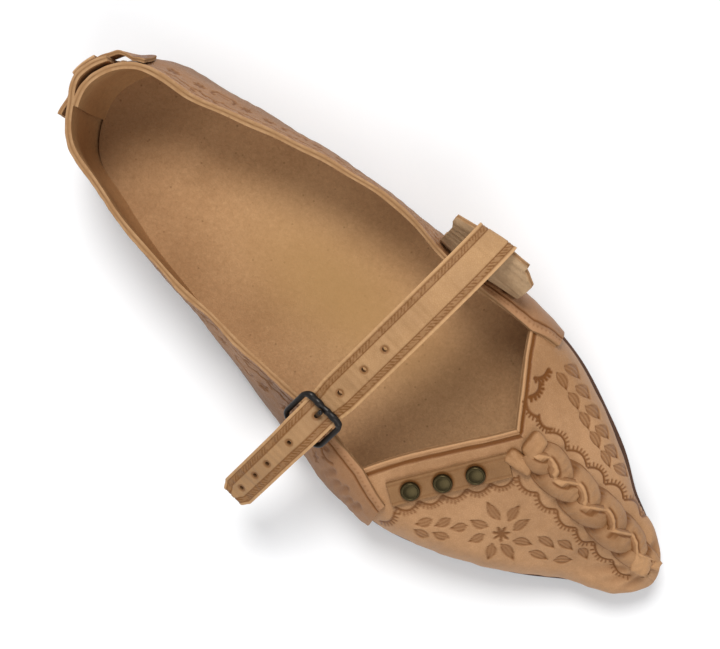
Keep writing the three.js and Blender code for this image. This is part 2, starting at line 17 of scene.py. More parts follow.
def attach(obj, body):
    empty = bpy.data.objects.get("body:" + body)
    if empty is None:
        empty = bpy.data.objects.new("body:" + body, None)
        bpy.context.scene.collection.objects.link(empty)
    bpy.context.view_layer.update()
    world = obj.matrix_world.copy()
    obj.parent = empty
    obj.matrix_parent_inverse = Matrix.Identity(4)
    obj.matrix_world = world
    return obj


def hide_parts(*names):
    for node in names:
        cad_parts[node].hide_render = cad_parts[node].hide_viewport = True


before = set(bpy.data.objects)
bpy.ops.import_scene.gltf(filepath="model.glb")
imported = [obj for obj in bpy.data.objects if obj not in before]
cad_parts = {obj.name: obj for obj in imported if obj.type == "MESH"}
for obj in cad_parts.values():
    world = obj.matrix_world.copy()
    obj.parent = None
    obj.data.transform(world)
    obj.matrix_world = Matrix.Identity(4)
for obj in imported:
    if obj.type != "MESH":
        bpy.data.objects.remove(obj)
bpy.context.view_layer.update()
rng = np.random.default_rng(7)
print("nodes:", ", ".join(sorted(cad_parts)))

# %% Sizes, in millimetres, as the solids have them
shoe_length = 262.0
ball_width = 98.0
heel_height = 52.0
leather = 2.2
gap = 0.3
sole_thickness = 4.0
sole_welt = 2.4
toe_spring = 4.0
spring_start = 0.72
feathering = 1.0
insole_thickness = 2.2
to_metres = 0.001
print("shoe", shoe_length, "x", ball_width, "mm, leather", leather, "mm")

# %% [markdown]
# The last is the wooden form that a shoe is pulled over. Twelve sections from toe to heel give its feather
# line, where it meets the sole, its shoulder or collar line, and the ridge of the toe. Shares of the shoe's
# own sizes keep the table short.

# %% Sections of the last
# along, feather lateral and medial, belly, shoulder lateral and medial (each along, across), up,
# ridge (along, up)
sections = [
    (0.955, -0.146, 0.068, 0.024, 0.968, -0.138, 0.968, 0.056, 0.34, 0.957, 0.44),
    (0.905, -0.242, 0.146, 0.008, 0.905, -0.186, 0.905, 0.112, 0.404, 0.92, 0.538),
    (0.859, -0.327, 0.232, 0.007, 0.859, -0.25, 0.859, 0.177, 0.481, 0.882, 0.625),
    (0.805, -0.403, 0.304, 0.007, 0.805, -0.316, 0.805, 0.245, 0.562, 0.84, 0.712),
    (0.737, -0.48, 0.378, 0.007, 0.737, -0.372, 0.74, 0.311, 0.649, 0.788, 0.798),
    (0.676, -0.523, 0.41, 0.007, 0.668, -0.393, 0.691, 0.342, 0.712, 0.748, 0.856),
    (0.615, -0.525, 0.408, 0.008, 0.599, -0.367, 0.647, 0.367, 0.769, 0.714, 0.894),
    (0.531, -0.49, 0.398, 0.01, 0.523, -0.327, 0.538, 0.355, 0.769, None, None),
    (0.416, -0.42, 0.388, 0.01, 0.416, -0.311, 0.416, 0.388, 0.769, None, None),
    (0.302, -0.342, 0.365, 0.012, 0.302, -0.289, 0.302, 0.35, 0.795, None, None),
    (0.195, -0.281, 0.316, 0.018, 0.198, -0.257, 0.198, 0.276, 0.846, None, None),
    (0.126, -0.224, 0.281, 0.022, 0.126, -0.209, 0.126, 0.224, 0.894, None, None),
]
toe = {
    "along": 0.976, "across": -0.041, "belly": 0.03, "shoulder": 0.998, "up": 0.3, "ridge": (0.983, 0.39),
}
heel = {"along": 0.024, "across": 0.041, "belly": 0.032, "shoulder": 0.021, "up": 1.0}
heel_steps = 3
throat = sum(row[9] is not None for row in sections)
ridge_across = {"apex": 0.081, "nose": -0.037}
stations = 2 * len(sections) + heel_steps + 1
heel_station = stations / 2


def mix(a, b, t):
    return a + (b - a) * t


def place(along, across, up):
    return np.array([(along - 0.5) * shoe_length, across * ball_width, up])


def spring(x):
    share = np.clip((x / shoe_length + 0.5 - spring_start) / (1 - spring_start), 0, 1)
    return toe_spring * share**2


def smooth(t):
    t = np.clip(t, 0, 1)
    return t * t * (3 - 2 * t)


print("stations round the last:", stations, "of which the throat starts at", throat)

# %% [markdown]
# A spline through measured places looks more like pulled leather than straight pieces do. The centripetal
# kind doesn't overshoot where two places lie close together. It works on whole arrays, because each piece
# asks for tens of thousands of points at once.

# %% Smooth curves
def unit(v):
    return v / np.maximum(np.linalg.norm(v, axis=-1, keepdims=True), 1e-9)


def hermite(p, out, q, into, t):
    t2, t3 = t * t, t**3
    return p * (2 * t3 - 3 * t2 + 1) + out * (t3 - 2 * t2 + t) + q * (3 * t2 - 2 * t3) + into * (t3 - t2)


def curve(points, closed=False):
    """A smooth curve through points, as a function of an array of shares of its way."""
    knots = np.array(points, float)
    count = len(knots)

    def at(share):
        place_on = np.asarray(share, float) * (count if closed else count - 1)
        first = np.floor(place_on).astype(int)
        if closed:
            p = [knots[(first + k) % count] for k in (-1, 0, 1, 2)]
        else:
            first = np.clip(first, 0, count - 2)
            long = np.vstack([2 * knots[0] - knots[1], knots, 2 * knots[-1] - knots[-2]])
            p = [long[first + k] for k in (0, 1, 2, 3)]
        w = (place_on - first)[..., None]
        step = [np.linalg.norm(b - a, axis=-1, keepdims=True) ** 0.5 for a, b in zip(p, p[1:])]
        step[1] = np.maximum(step[1], 1e-4)
        step[0] = np.where(step[0] < 1e-4, step[1], step[0])
        step[2] = np.where(step[2] < 1e-4, step[1], step[2])
        start = (p[1] - p[0]) / step[0] - (p[2] - p[0]) / (step[0] + step[1]) + (p[2] - p[1]) / step[1]
        end = (p[2] - p[1]) / step[1] - (p[3] - p[1]) / (step[1] + step[2]) + (p[3] - p[2]) / step[2]
        return hermite(p[1], start * step[1], p[2], end * step[1], w)

    return at


quarter_turn = curve([(1, 0), (0, 1), (-1, 0), (0, -1)], closed=True)(np.array(0.125))
print("half way between two places of a unit circle:", quarter_turn.round(3))

# %% Lines of the last
def level_curve(toe_point, side_at, heel_point):
    lateral = [side_at(row, 0) for row in sections]
    medial = [side_at(row, 1) for row in sections]
    middle = (lateral[-1] + medial[-1]) / 2
    turns = [math.pi * (k + 1) / (heel_steps + 1) for k in range(heel_steps)]
    round_heel = [
        middle + (lateral[-1] - middle) * math.cos(a) + (heel_point - middle) * math.sin(a) for a in turns
    ]
    return curve([toe_point, *lateral, *round_heel, *medial[::-1]], closed=True)


def feather_at(along, across):
    p = place(along, across, 0)
    p[2] = sole_thickness + gap - feathering + spring(p[0])
    return p


feather = level_curve(
    feather_at(toe["along"], toe["across"]),
    lambda row, s: feather_at(row[0], row[1 + s]),
    feather_at(heel["along"], heel["across"]),
)
shoulder = level_curve(
    place(toe["shoulder"], toe["across"], toe["up"] * heel_height),
    lambda row, s: place(row[4 + 2 * s], row[5 + 2 * s], row[8] * heel_height),
    place(heel["shoulder"], heel["across"], heel["up"] * heel_height),
)
ridge_rows = [toe["ridge"]] + [(row[9], row[10]) for row in sections[:throat]]
ridge_ends = ([ridge_rows[-1][0], toe["ridge"][0]], [ridge_across["apex"], ridge_across["nose"]])
ridge = curve([place(along, np.interp(along, *ridge_ends), up * heel_height) for along, up in ridge_rows])
print("apex of the throat at", ridge(np.array(1.0)).round(1), "and nose at", ridge(np.array(0.0)).round(1))

# %% [markdown]
# The face of the last runs up from the feather line to the collar, and over the toe on to the ridge. Two
# numbers name every place on it: u goes round the shoe and v goes up. All leather pieces are laid on this
# face, which is how a real upper gets its shape too.

# %% The face of the last
last_belly = sections[-1][3]
bellies = [toe["belly"], *(row[3] for row in sections), mix(last_belly, heel["belly"], 0.6), heel["belly"]]
belly_tangent = 6.75
crown_fade = 1.5


def last_point(u, v):
    """u counts stations from the toe round the lateral side. v is 0 at the sole, 1 at the collar, 2 at the
    ridge."""
    u = np.mod(u, stations)
    from_toe = np.minimum(u, stations - u)
    f = feather(u / stations)
    c = shoulder(u / stations)
    r = ridge(np.minimum(1, from_toe / throat))
    along = unit(feather(u / stations + 1e-4) - feather(u / stations - 1e-4))
    belly = np.interp(from_toe, np.arange(len(bellies)), bellies)[..., None] * ball_width
    rise = c - f
    reach = np.linalg.norm(rise, axis=-1, keepdims=True)
    crown = (1 - smooth((from_toe - throat) / crown_fade))[..., None]
    inward = unit(np.stack([r[..., 0] - c[..., 0], r[..., 1] - f[..., 1], r[..., 2] - c[..., 2]], axis=-1))
    lean = unit(unit(rise) * (1 - crown) + inward * crown)
    out = unit(np.stack([-along[..., 1], along[..., 0], 0 * along[..., 0]], axis=-1))
    out = np.concatenate([(out * belly * belly_tangent)[..., :2], reach], axis=-1)
    v = np.asarray(v, float)[..., None]
    wall = hermite(f, out, c, lean * reach, np.minimum(v, 1))
    over = r - c
    top = np.concatenate([over[..., :2], over[..., 2:] * 0.5], axis=-1)
    cap = hermite(c, lean * np.linalg.norm(over, axis=-1, keepdims=True), r, top, np.maximum(v - 1, 0))
    return np.where(v <= 1, wall, cap)


def last_normal(u, v, step=0.01):
    by_u = last_point(u + step, v) - last_point(u - step, v)
    by_v = last_point(u, np.minimum(v + step, 2)) - last_point(u, np.maximum(v - step, 0))
    return unit(np.cross(by_v, by_u))


print("collar back of the heel at", last_point(np.array(heel_station), np.array(1.0)).round(1))

# %% [markdown]
# The camera comes before the pieces, so every later step can be judged in the photograph's own view. The
# photograph looks straight down from about 56 cm. The camera stays at that spot and turns a few degrees to
# face this one shoe, which keeps the view into the collar exactly as it is there.

# %% Camera
camera_at = Vector((-0.0045, 0.0423, 0.560))
aim = Vector((-0.0065, -0.0005, 0.025))
picture_up = Vector((-0.6431, 0.7658, 0.0))
back = (camera_at - aim).normalized()
right = picture_up.cross(back).normalized()
up = back.cross(right)
camera_data = bpy.data.cameras.new("camera")
camera = bpy.data.objects.new("camera", camera_data)
bpy.context.collection.objects.link(camera)
camera_data.lens = 77.5
camera_data.sensor_width = 36
camera.matrix_world = Matrix.Translation(camera_at) @ Matrix((right, up, back)).transposed().to_4x4()
bpy.context.scene.camera = camera
camera_tilt = math.degrees(back.angle((0, 0, 1)))
print("camera", round(camera_data.lens, 1), "mm, tilted", round(camera_tilt, 2), "degrees")

# %% [markdown]
# The studio is a pale floor under one broad soft light overhead, a weaker one from the toe's side and a
# pale sky, as product pictures of shoes are lit. Broad lights give leather its soft, wide highlights.

# %% Studio
scene = bpy.context.scene
scene.view_settings.view_transform = "Standard"
world = bpy.data.worlds.new("studio")
scene.world = world
world.use_nodes = True
world.node_tree.nodes["Background"].inputs["Color"].default_value = (0.95, 0.97, 1.0, 1)
world.node_tree.nodes["Background"].inputs["Strength"].default_value = 0.5


def add_light(name, at, size, power, toward=(0, 0, 0.02)):
    data = bpy.data.lights.new(name, "AREA")
    data.shape = "DISK"
    data.size = size
    data.energy = power
    lamp = bpy.data.objects.new(name, data)
    bpy.context.collection.objects.link(lamp)
    lamp.location = at
    lamp.rotation_euler = (Vector(toward) - Vector(at)).to_track_quat("-Z", "Y").to_euler()


add_light("key", (-0.55, 0.55, 1.3), 0.6, 16)
add_light("fill", (0.7, -0.5, 1.1), 1.0, 6)
print("lights:", ", ".join(lamp.name for lamp in bpy.data.lights))

# %% Floor
floor_reach = 3
floor_drop = 0.0003
bm = bmesh.new()
bmesh.ops.create_grid(bm, x_segments=1, y_segments=1, size=floor_reach)
floor_mesh = bpy.data.meshes.new("floor")
bm.to_mesh(floor_mesh)
bm.free()
floor = bpy.data.objects.new("floor", floor_mesh)
bpy.context.collection.objects.link(floor)
floor_mesh.transform(Matrix.Translation((0, 0, -floor_drop)))
floor_finish = bpy.data.materials.new("floor_white")
floor_finish.use_nodes = True
floor_shader = floor_finish.node_tree.nodes["Principled BSDF"]
floor_shader.inputs["Base Color"].default_value = (0.9, 0.9, 0.9, 1)
floor_shader.inputs["Roughness"].default_value = 0.9
floor_mesh.materials.append(floor_finish)
print("floor", 2 * floor_reach, "m wide")

# %% [markdown]
# Leather is never one flat colour. A shared group mottles the hide in broad and fine patches, a second
# one gives the pores and wrinkles of the grain side, and a third draws the fibres of the flesh side.
# Tooling is painted by each piece's own attributes. One is how dark the damp stamp burnished the leather, and
# it also paints shade into folds and puckers, under crossing strips of the braid, round the edges of its
# domed end bands and on the thong's far end. One is how much the edge was handled, and it also paints a
# highlight on the crests of the braid and the middle of its end bands. One is how far wear and dirt have
# darkened it, and one holds more dirt together with painted shade at the heel of the insole and in the
# strap's holes.

# %% Node helpers
FLOAT, COLOR = "NodeSocketFloat", "NodeSocketColor"


def new_group(name, inputs, outputs):
    group = bpy.data.node_groups.new(name, "ShaderNodeTree")
    for label, kind, value in inputs:
        socket = group.interface.new_socket(label, in_out="INPUT", socket_type=kind)
        if value is not None:
            socket.default_value = value
    for label, kind in outputs:
        group.interface.new_socket(label, in_out="OUTPUT", socket_type=kind)
    return group, group.nodes.new("NodeGroupInput"), group.nodes.new("NodeGroupOutput")


def node(tree, kind, **values):
    made = tree.nodes.new(kind)
    for key, value in values.items():
        if key.startswith("_"):
            made.inputs[key[1:].replace("_", " ")].default_value = value
        else:
            setattr(made, key, value)
    return made


def ramp(tree, stops):
    made = tree.nodes.new("ShaderNodeValToRGB")
    elements = made.color_ramp.elements
    while len(elements) < len(stops):
        elements.new(0.5)
    for element, (at, value) in zip(elements, stops):
        element.position = at
        element.color = (value, value, value, 1) if isinstance(value, float) else (*value, 1)
    return made


def math_node(tree, operation, first, second=None):
    made = node(tree, "ShaderNodeMath", operation=operation)
    for socket, value in zip(made.inputs, (first, second)):
        if value is None:
            continue
        if isinstance(value, (int, float)):
            socket.default_value = value
        else:
            tree.links.new(value, socket)
    return made.outputs[0]


def noise_on_object(tree, kind="ShaderNodeTexNoise", **values):
    """A texture that sticks to the piece, because it is read by the piece's own coordinates."""
    where = tree.nodes.new("ShaderNodeTexCoord")
    made = node(tree, kind, **values)
    tree.links.new(where.outputs["Object"], made.inputs["Vector"])
    return made


print("helpers for groups of", FLOAT, "and", COLOR)

# %% Mottled hide
hide, hide_in, hide_out = new_group(
    "hide_mottle",
    [("Light", COLOR, (0.6, 0.4, 0.2, 1)), ("Deep", COLOR, (0.4, 0.2, 0.1, 1)), ("Patch", FLOAT, 30.0)],
    [("Color", COLOR), ("Patchiness", FLOAT)],
)
broad = noise_on_object(hide, _Detail=3.0, _Roughness=0.55)
hide.links.new(hide_in.outputs["Patch"], broad.inputs["Scale"])
fine = noise_on_object(hide, _Scale=420.0, _Detail=4.0, _Roughness=0.65)
broad_share = 0.68
broad_part = math_node(hide, "MULTIPLY", broad.outputs[0], broad_share)
both = math_node(hide, "ADD", broad_part, math_node(hide, "MULTIPLY", fine.outputs[0], 1 - broad_share))
spread = ramp(hide, [(0.38, 0.0), (0.62, 1.0)])
hide.links.new(both, spread.inputs[0])
tint = node(hide, "ShaderNodeMix", data_type="RGBA")
hide.links.new(spread.outputs[0], tint.inputs["Factor"])
hide.links.new(hide_in.outputs["Deep"], tint.inputs[6])
hide.links.new(hide_in.outputs["Light"], tint.inputs[7])
hide.links.new(tint.outputs[2], hide_out.inputs["Color"])
hide.links.new(spread.outputs[0], hide_out.inputs["Patchiness"])
print(hide.name, "has", len(hide.nodes), "nodes")

# %% Pores of the grain side
grain, grain_in, grain_out = new_group(
    "hide_grain",
    [("Pore_size", FLOAT, 1400.0), ("Wrinkle", FLOAT, 0.5)],
    [("Height", FLOAT), ("Pores", FLOAT)],
)
cells = noise_on_object(grain, "ShaderNodeTexVoronoi", feature="DISTANCE_TO_EDGE", _Randomness=1.0)
grain.links.new(grain_in.outputs["Pore_size"], cells.inputs["Scale"])
creased = ramp(grain, [(0.0, 0.0), (0.25, 1.0)])
grain.links.new(cells.outputs["Distance"], creased.inputs[0])
soft = noise_on_object(grain, _Scale=260.0, _Detail=5.0, _Roughness=0.7)
waves = math_node(grain, "MULTIPLY", soft.outputs[0], grain_in.outputs["Wrinkle"])
pore_height = math_node(grain, "MULTIPLY", creased.outputs[0], 0.5)
grain.links.new(math_node(grain, "ADD", pore_height, waves), grain_out.inputs["Height"])
grain.links.new(creased.outputs[0], grain_out.inputs["Pores"])
print(grain.name, "has", len(grain.nodes), "nodes")

# %% Fibres of the flesh side
nap, nap_in, nap_out = new_group(
    "flesh_nap", [("Fibre", FLOAT, 900.0)], [("Height", FLOAT), ("Speck", FLOAT)]
)
fibres = noise_on_object(nap, _Detail=6.0, _Roughness=0.75, _Distortion=0.6)
nap.links.new(nap_in.outputs["Fibre"], fibres.inputs["Scale"])
specks = noise_on_object(nap, "ShaderNodeTexVoronoi", _Scale=230.0, _Randomness=1.0)
speck_ramp = ramp(nap, [(0.04, 1.0), (0.12, 0.0)])
nap.links.new(specks.outputs["Distance"], speck_ramp.inputs[0])
nap.links.new(fibres.outputs[0], nap_out.inputs["Height"])
nap.links.new(speck_ramp.outputs[0], nap_out.inputs["Speck"])
print("shared groups:", ", ".join(g.name for g in bpy.data.node_groups))

# %% [markdown]
# Each finish is one material that mixes those groups. The grain side keeps a satin gloss, because the
# fibres lie flat there. The flesh side and cut edges are paler and quite matt.

# %% Helpers for finishes
def finish(name):
    made = bpy.data.materials.new(name)
    made.use_nodes = True
    tree = made.node_tree
    return made, tree, tree.nodes["Principled BSDF"]


def put_group(tree, group, **values):
    made = tree.nodes.new("ShaderNodeGroup")
    made.node_tree = group
    for key, value in values.items():
        made.inputs[key].default_value = value
    return made


def blend_color(tree, factor, low, high):
    made = node(tree, "ShaderNodeMix", data_type="RGBA")
    for socket, value in ((made.inputs["Factor"], factor), (made.inputs[6], low), (made.inputs[7], high)):
        if isinstance(value, (int, float)):
            socket.default_value = value
        elif isinstance(value, tuple):
            socket.default_value = (*value, 1)
        else:
            tree.links.new(value, socket)
    return made.outputs[2]


def roughen(tree, shader, height, strength, distance):
    rise = node(tree, "ShaderNodeBump", _Strength=strength, _Distance=distance)
    tree.links.new(height, rise.inputs["Height"])
    tree.links.new(rise.outputs[0], shader.inputs["Normal"])


def painted_by(tree, label):
    """The value that a piece's own attribute has here."""
    return node(tree, "ShaderNodeAttribute", attribute_name=label).outputs["Fac"]


print("finishes are mixed from", ", ".join(g.name for g in bpy.data.node_groups))

# %% Finish of the grain side
def leather_finish(name, light, deep, burnt_and_shade, old, patch=26.0, bump=0.7, rough=0.5, pore=1500.0):
    made, tree, shader = finish(name)
    mottle = put_group(tree, hide, Light=(*light, 1), Deep=(*deep, 1), Patch=patch)
    pores = put_group(tree, grain, Pore_size=pore)
    painted = {label: painted_by(tree, label) for label in ("tooled", "rubbed", "aged")}
    hollows = math_node(tree, "MULTIPLY", math_node(tree, "SUBTRACT", 1.0, pores.outputs["Pores"]), 0.16)
    pored = blend_color(tree, hollows, mottle.outputs["Color"], burnt_and_shade)
    darkened = blend_color(tree, painted["aged"], pored, old)
    # The rubbed colour also carries painted highlights, and the burnt colour of the stamps also carries
    # painted shade.
    bright = tuple(min(1.0, c * 1.25) for c in light)
    handled = blend_color(tree, painted["rubbed"], darkened, bright)
    stamped_and_shaded = blend_color(tree, painted["tooled"], handled, burnt_and_shade)
    tree.links.new(stamped_and_shaded, shader.inputs["Base Color"])
    gloss = math_node(tree, "ADD", rough, math_node(tree, "MULTIPLY", mottle.outputs["Patchiness"], 0.12))
    polished = math_node(tree, "MULTIPLY", painted["tooled"], 0.08)
    tree.links.new(math_node(tree, "SUBTRACT", gloss, polished), shader.inputs["Roughness"])
    shader.inputs["Specular IOR Level"].default_value = 0.24
    roughen(tree, shader, pores.outputs["Height"], bump, 0.00018)
    return made


burnt_and_shade = (0.155, 0.05, 0.006)
worn_tan = (0.24, 0.12, 0.055)
tan = leather_finish("tan_leather", (0.475, 0.26, 0.125), (0.35, 0.182, 0.08), burnt_and_shade, worn_tan)
# The quarters' grain side is a darker copy of the tan, painted shade for walls that stand in shade; the thong
# shares it.
quarter_tan_shaded = leather_finish(
    "quarter_leather_shaded", (0.37, 0.19, 0.09), (0.27, 0.13, 0.055), burnt_and_shade, (0.19, 0.095, 0.045)
)
pale = leather_finish(
    "strap_leather", (0.53, 0.31, 0.145), (0.43, 0.24, 0.105), (0.17, 0.062, 0.011), (0.3, 0.165, 0.075)
)
band_tan = leather_finish(
    "band_leather", (0.33, 0.172, 0.07), (0.25, 0.12, 0.044), burnt_and_shade, (0.17, 0.09, 0.036)
)
braid_tan = leather_finish(
    "braid_leather", (0.46, 0.25, 0.115), (0.32, 0.158, 0.064), burnt_and_shade, (0.22, 0.11, 0.05)
)
print("grain finishes:", ", ".join(m.name for m in (tan, quarter_tan_shaded, pale, band_tan, braid_tan)))

# %% Finish of the flesh side and the cut edge
def flesh_finish(name, light, deep, dark, bump=0.6, fibre=900.0, speck=0.25, weave=0.5, patch=20.0,
                 olive=None, core=None):
    made, tree, shader = finish(name)
    mottle = put_group(tree, hide, Light=(*light, 1), Deep=(*deep, 1), Patch=patch)
    fibres = put_group(tree, nap, Fibre=fibre)
    spots = math_node(tree, "MULTIPLY", fibres.outputs["Speck"], speck)
    shade = math_node(tree, "MULTIPLY", math_node(tree, "SUBTRACT", 0.68, fibres.outputs["Height"]), weave)
    napped = blend_color(tree, shade, mottle.outputs["Color"], dark)
    color = blend_color(tree, spots, napped, dark)
    if olive:
        color = blend_color(tree, painted_by(tree, "aged"), color, olive)
    if core:
        patchy = math_node(tree, "MULTIPLY", mottle.outputs["Patchiness"], 0.55)
        line = math_node(tree, "POWER", painted_by(tree, "middle"), 3)
        dark_line = math_node(tree, "MULTIPLY", line, math_node(tree, "ADD", patchy, 0.4))
        color = blend_color(tree, dark_line, color, core)
    tree.links.new(blend_color(tree, painted_by(tree, "stained"), color, dark), shader.inputs["Base Color"])
    shader.inputs["Roughness"].default_value = 0.92
    shader.inputs["Specular IOR Level"].default_value = 0.15
    roughen(tree, shader, fibres.outputs["Height"], bump, 0.0003)
    return made


# A dark soil brown for fibres, specks and dirt, which is also the colour of painted shade at the insole's
# heel and in the strap's holes.
soil_and_shade_tone = (0.13, 0.062, 0.024)
flesh = flesh_finish("flesh_side", (0.50, 0.33, 0.18), (0.37, 0.22, 0.11), soil_and_shade_tone)
flesh_pale = flesh_finish("strap_flesh", (0.56, 0.38, 0.22), (0.43, 0.27, 0.145), soil_and_shade_tone, bump=0.9)
cut_edge = flesh_finish(
    "cut_edge", (0.46, 0.27, 0.135), (0.36, 0.195, 0.088), soil_and_shade_tone, bump=0.5, patch=260.0,
    core=(0.16, 0.07, 0.022)
)
band_edge = flesh_finish("band_edge", (0.30, 0.16, 0.07), (0.2, 0.1, 0.04), soil_and_shade_tone, bump=0.3)
# A darker, more saturated suede for the inside of the quarters, painted shade inside the heel.
inside_suede_shaded = flesh_finish(
    "inside_suede_shaded", (0.5, 0.28, 0.125), (0.38, 0.2, 0.084), soil_and_shade_tone, speck=0.3, weave=0.6
)
insole_finish = flesh_finish(
    "insole_suede", (0.60, 0.35, 0.175), (0.46, 0.255, 0.12), soil_and_shade_tone, bump=0.8, speck=0.5, weave=0.9,
    olive=(0.44, 0.255, 0.10)
)
sole_finish = flesh_finish(
    "sole_edge", (0.12, 0.066, 0.045), (0.075, 0.04, 0.028), (0.03, 0.016, 0.01), bump=0.3
)
print("all finishes so far:", len(bpy.data.materials))

# %% [markdown]
# The metal is old: black lacquer on the buckle, dark olive brass on the rivets. Both show a little bare
# metal where a noise lets it through, and keep a soft, uneven gloss.

# %% Metal finishes
def metal_finish(name, base, bare, rough, shine, worn=0.35):
    made, tree, shader = finish(name)
    patches = noise_on_object(tree, _Scale=900.0, _Detail=4.0, _Roughness=0.7)
    through = ramp(tree, [(1 - worn, 0.0), (1.0 - worn * 0.5, 1.0)])
    tree.links.new(patches.outputs[0], through.inputs[0])
    tree.links.new(blend_color(tree, through.outputs[0], base, bare), shader.inputs["Base Color"])
    shader.inputs["Metallic"].default_value = shine
    gloss = math_node(tree, "ADD", rough, math_node(tree, "MULTIPLY", patches.outputs[0], 0.15))
    tree.links.new(gloss, shader.inputs["Roughness"])
    roughen(tree, shader, patches.outputs[0], 0.25, 0.0001)
    return made


black = metal_finish("black_metal", (0.02, 0.017, 0.015), (0.12, 0.09, 0.07), 0.3, 0.6)
brass = metal_finish("old_brass", (0.05, 0.037, 0.015), (0.3, 0.24, 0.11), 0.26, 0.9, worn=0.3)
print("finishes:", len(bpy.data.materials))

# %% [markdown]
# One helper makes every sheet. It asks bmesh for a flat grid and extrudes it once, so that it has a grain
# side, a flesh side and a cut edge. A punch cuts its holes while it is still flat, as a saddler would.


def link(name, mesh, finishes, stands_for):
    made = bpy.data.objects.new(name, mesh)
    bpy.context.collection.objects.link(made)
    for f in finishes:
        mesh.materials.append(f)
    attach(made, "root")
    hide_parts(stands_for)
    print(name, len(mesh.vertices), "points")
    return made


def mesh_of(bm, name):
    mesh = bpy.data.meshes.new(name)
    bm.to_mesh(mesh)
    bm.free()
    return mesh


# %% Flat slab
edge_cuts = 3


def punch(bm, centre, reach):
    """Cuts an ellipse out of the flat grid, in shares of its sides, and rounds the edge that is left."""

    def offset(co):
        return Vector(((co.x - centre[0]) / reach[0], (co.y - centre[1]) / reach[1]))

    inside = [f for f in bm.faces if offset(f.calc_center_median()).length < 1]
    bmesh.ops.delete(bm, geom=inside, context="FACES")
    for v in bm.verts:
        out = offset(v.co)
        if v.is_boundary and out.length < 2:
            v.co.x = centre[0] + out.normalized().x * reach[0]
            v.co.y = centre[1] + out.normalized().y * reach[1]


def extruded_grid(columns, rows, holes, joined):
    """A flat slab of unit size: its top is the grain side, its underside the flesh side."""
    bm = bmesh.new()
    bmesh.ops.create_grid(bm, x_segments=columns, y_segments=rows, size=0.5)
    bmesh.ops.translate(bm, verts=bm.verts, vec=(0.5, 0.5, 0))
    for centre, reach in holes:
        punch(bm, centre, reach)
    back = bm.faces[:]
    raised = bmesh.ops.extrude_face_region(bm, geom=back, use_keep_orig=True)["geom"]
    bmesh.ops.translate(bm, verts=[v for v in raised if isinstance(v, bmesh.types.BMVert)], vec=(0, 0, 1))
    bmesh.ops.reverse_faces(bm, faces=back)
    across = [e for e in bm.edges if e.verts[0].co.z != e.verts[1].co.z]
    bmesh.ops.subdivide_edges(bm, edges=across, cuts=edge_cuts, use_grid_fill=True)
    weight = bm.edges.layers.float.new("bevel_weight_edge")
    for face in bm.faces:
        face.smooth = True
        level = face.calc_center_median().z
        face.material_index = 0 if level > 0.99 else 1 if level < 0.01 else 2
        if face.material_index < 2:
            continue
        for edge in face.edges:
            middle = (edge.verts[0].co + edge.verts[1].co) / 2
            if middle.z > 0.99 and not joined(middle.x, middle.y):
                edge[weight] = 1
            elif middle.z < 0.01:
                edge.smooth = False
    return bm


def never(i, j):
    return False


trial = extruded_grid(4, 3, (), never)
print("a slab of 4 x 3 cells has", len(trial.faces), "faces")
trial.free()

# %% [markdown]
# The slab is laid over the last by two functions of its two shares. "lay" gives the place of each point,
# and "work" how high the leather stands there and what was done to it. The tooling only moves the grain
# side, so the inside of the shoe stays smooth. A Bevel modifier rounds the cut edge at the end.

# %% Sheets
weld_distance = 0.00002
lay_step = 0.002


def sheet(name, grid, lay, work, thickness, finishes, stands_for, rounding=0.35, holes=(), joined=never,
          upright=False, weld=False):
    mesh = mesh_of(extruded_grid(*grid, holes, joined), name)
    flat = np.empty(len(mesh.vertices) * 3, np.float32)
    mesh.vertices.foreach_get("co", flat)
    i, j, side = flat.reshape(-1, 3).astype(float).T
    i, j = np.clip(i, 0, 1), np.clip(j, 0, 1)
    base = lay(i, j)
    by_i = lay(np.minimum(i + lay_step, 1), j) - lay(np.maximum(i - lay_step, 0), j)
    by_j = lay(i, np.minimum(j + lay_step, 1)) - lay(i, np.maximum(j - lay_step, 0))
    normal = np.array((0.0, 0.0, 1.0)) if upright else unit(np.cross(by_i, by_j))
    worked = work(i, j, base)
    level, depth = worked.pop("level", 0.0), worked.pop("depth", 0.0)
    lift = np.broadcast_to(mix(level - thickness, level - depth, side), i.shape)[:, None]
    worked["middle"] = 1 - np.abs(2 * side - 1)
    mesh.vertices.foreach_set("co", ((base + normal * lift) * to_metres).astype(np.float32).ravel())
    for label in ("tooled", "rubbed", "stained", "aged", "middle"):
        layer = mesh.attributes.new(label, "FLOAT", "POINT")
        values = np.broadcast_to(worked.get(label, 0.0), i.shape).astype(np.float32)
        layer.data.foreach_set("value", np.clip(values, 0, 1))
    if weld:
        bm = bmesh.new()
        bm.from_mesh(mesh)
        bmesh.ops.remove_doubles(bm, verts=bm.verts, dist=weld_distance)
        bm.to_mesh(mesh)
        bm.free()
    made = link(name, mesh, finishes, stands_for)
    if rounding:
        edge = made.modifiers.new("rounded_edge", "BEVEL")
        edge.limit_method = "WEIGHT"
        edge.width = rounding * to_metres
        edge.segments = 2
    return made


print("sheets are read at steps of", lay_step, "and welded within", weld_distance, "m")

# %% [markdown]
# Tooling is done with stamps on damp leather. Each stamp presses the grain down and burnishes it dark. Here
# a board holds the places of a sheet's points, and strokes, leaves and scallops press into it. The deepest
# stamp wins where two meet, as it does on the real leather.

# %% Board and lines
def bump(x, centre, half, soft=0.25):
    """A soft-edged band: 1 near the centre, 0 beyond half to both sides."""
    return smooth((half + soft - np.abs(x - centre)) / (2 * soft))


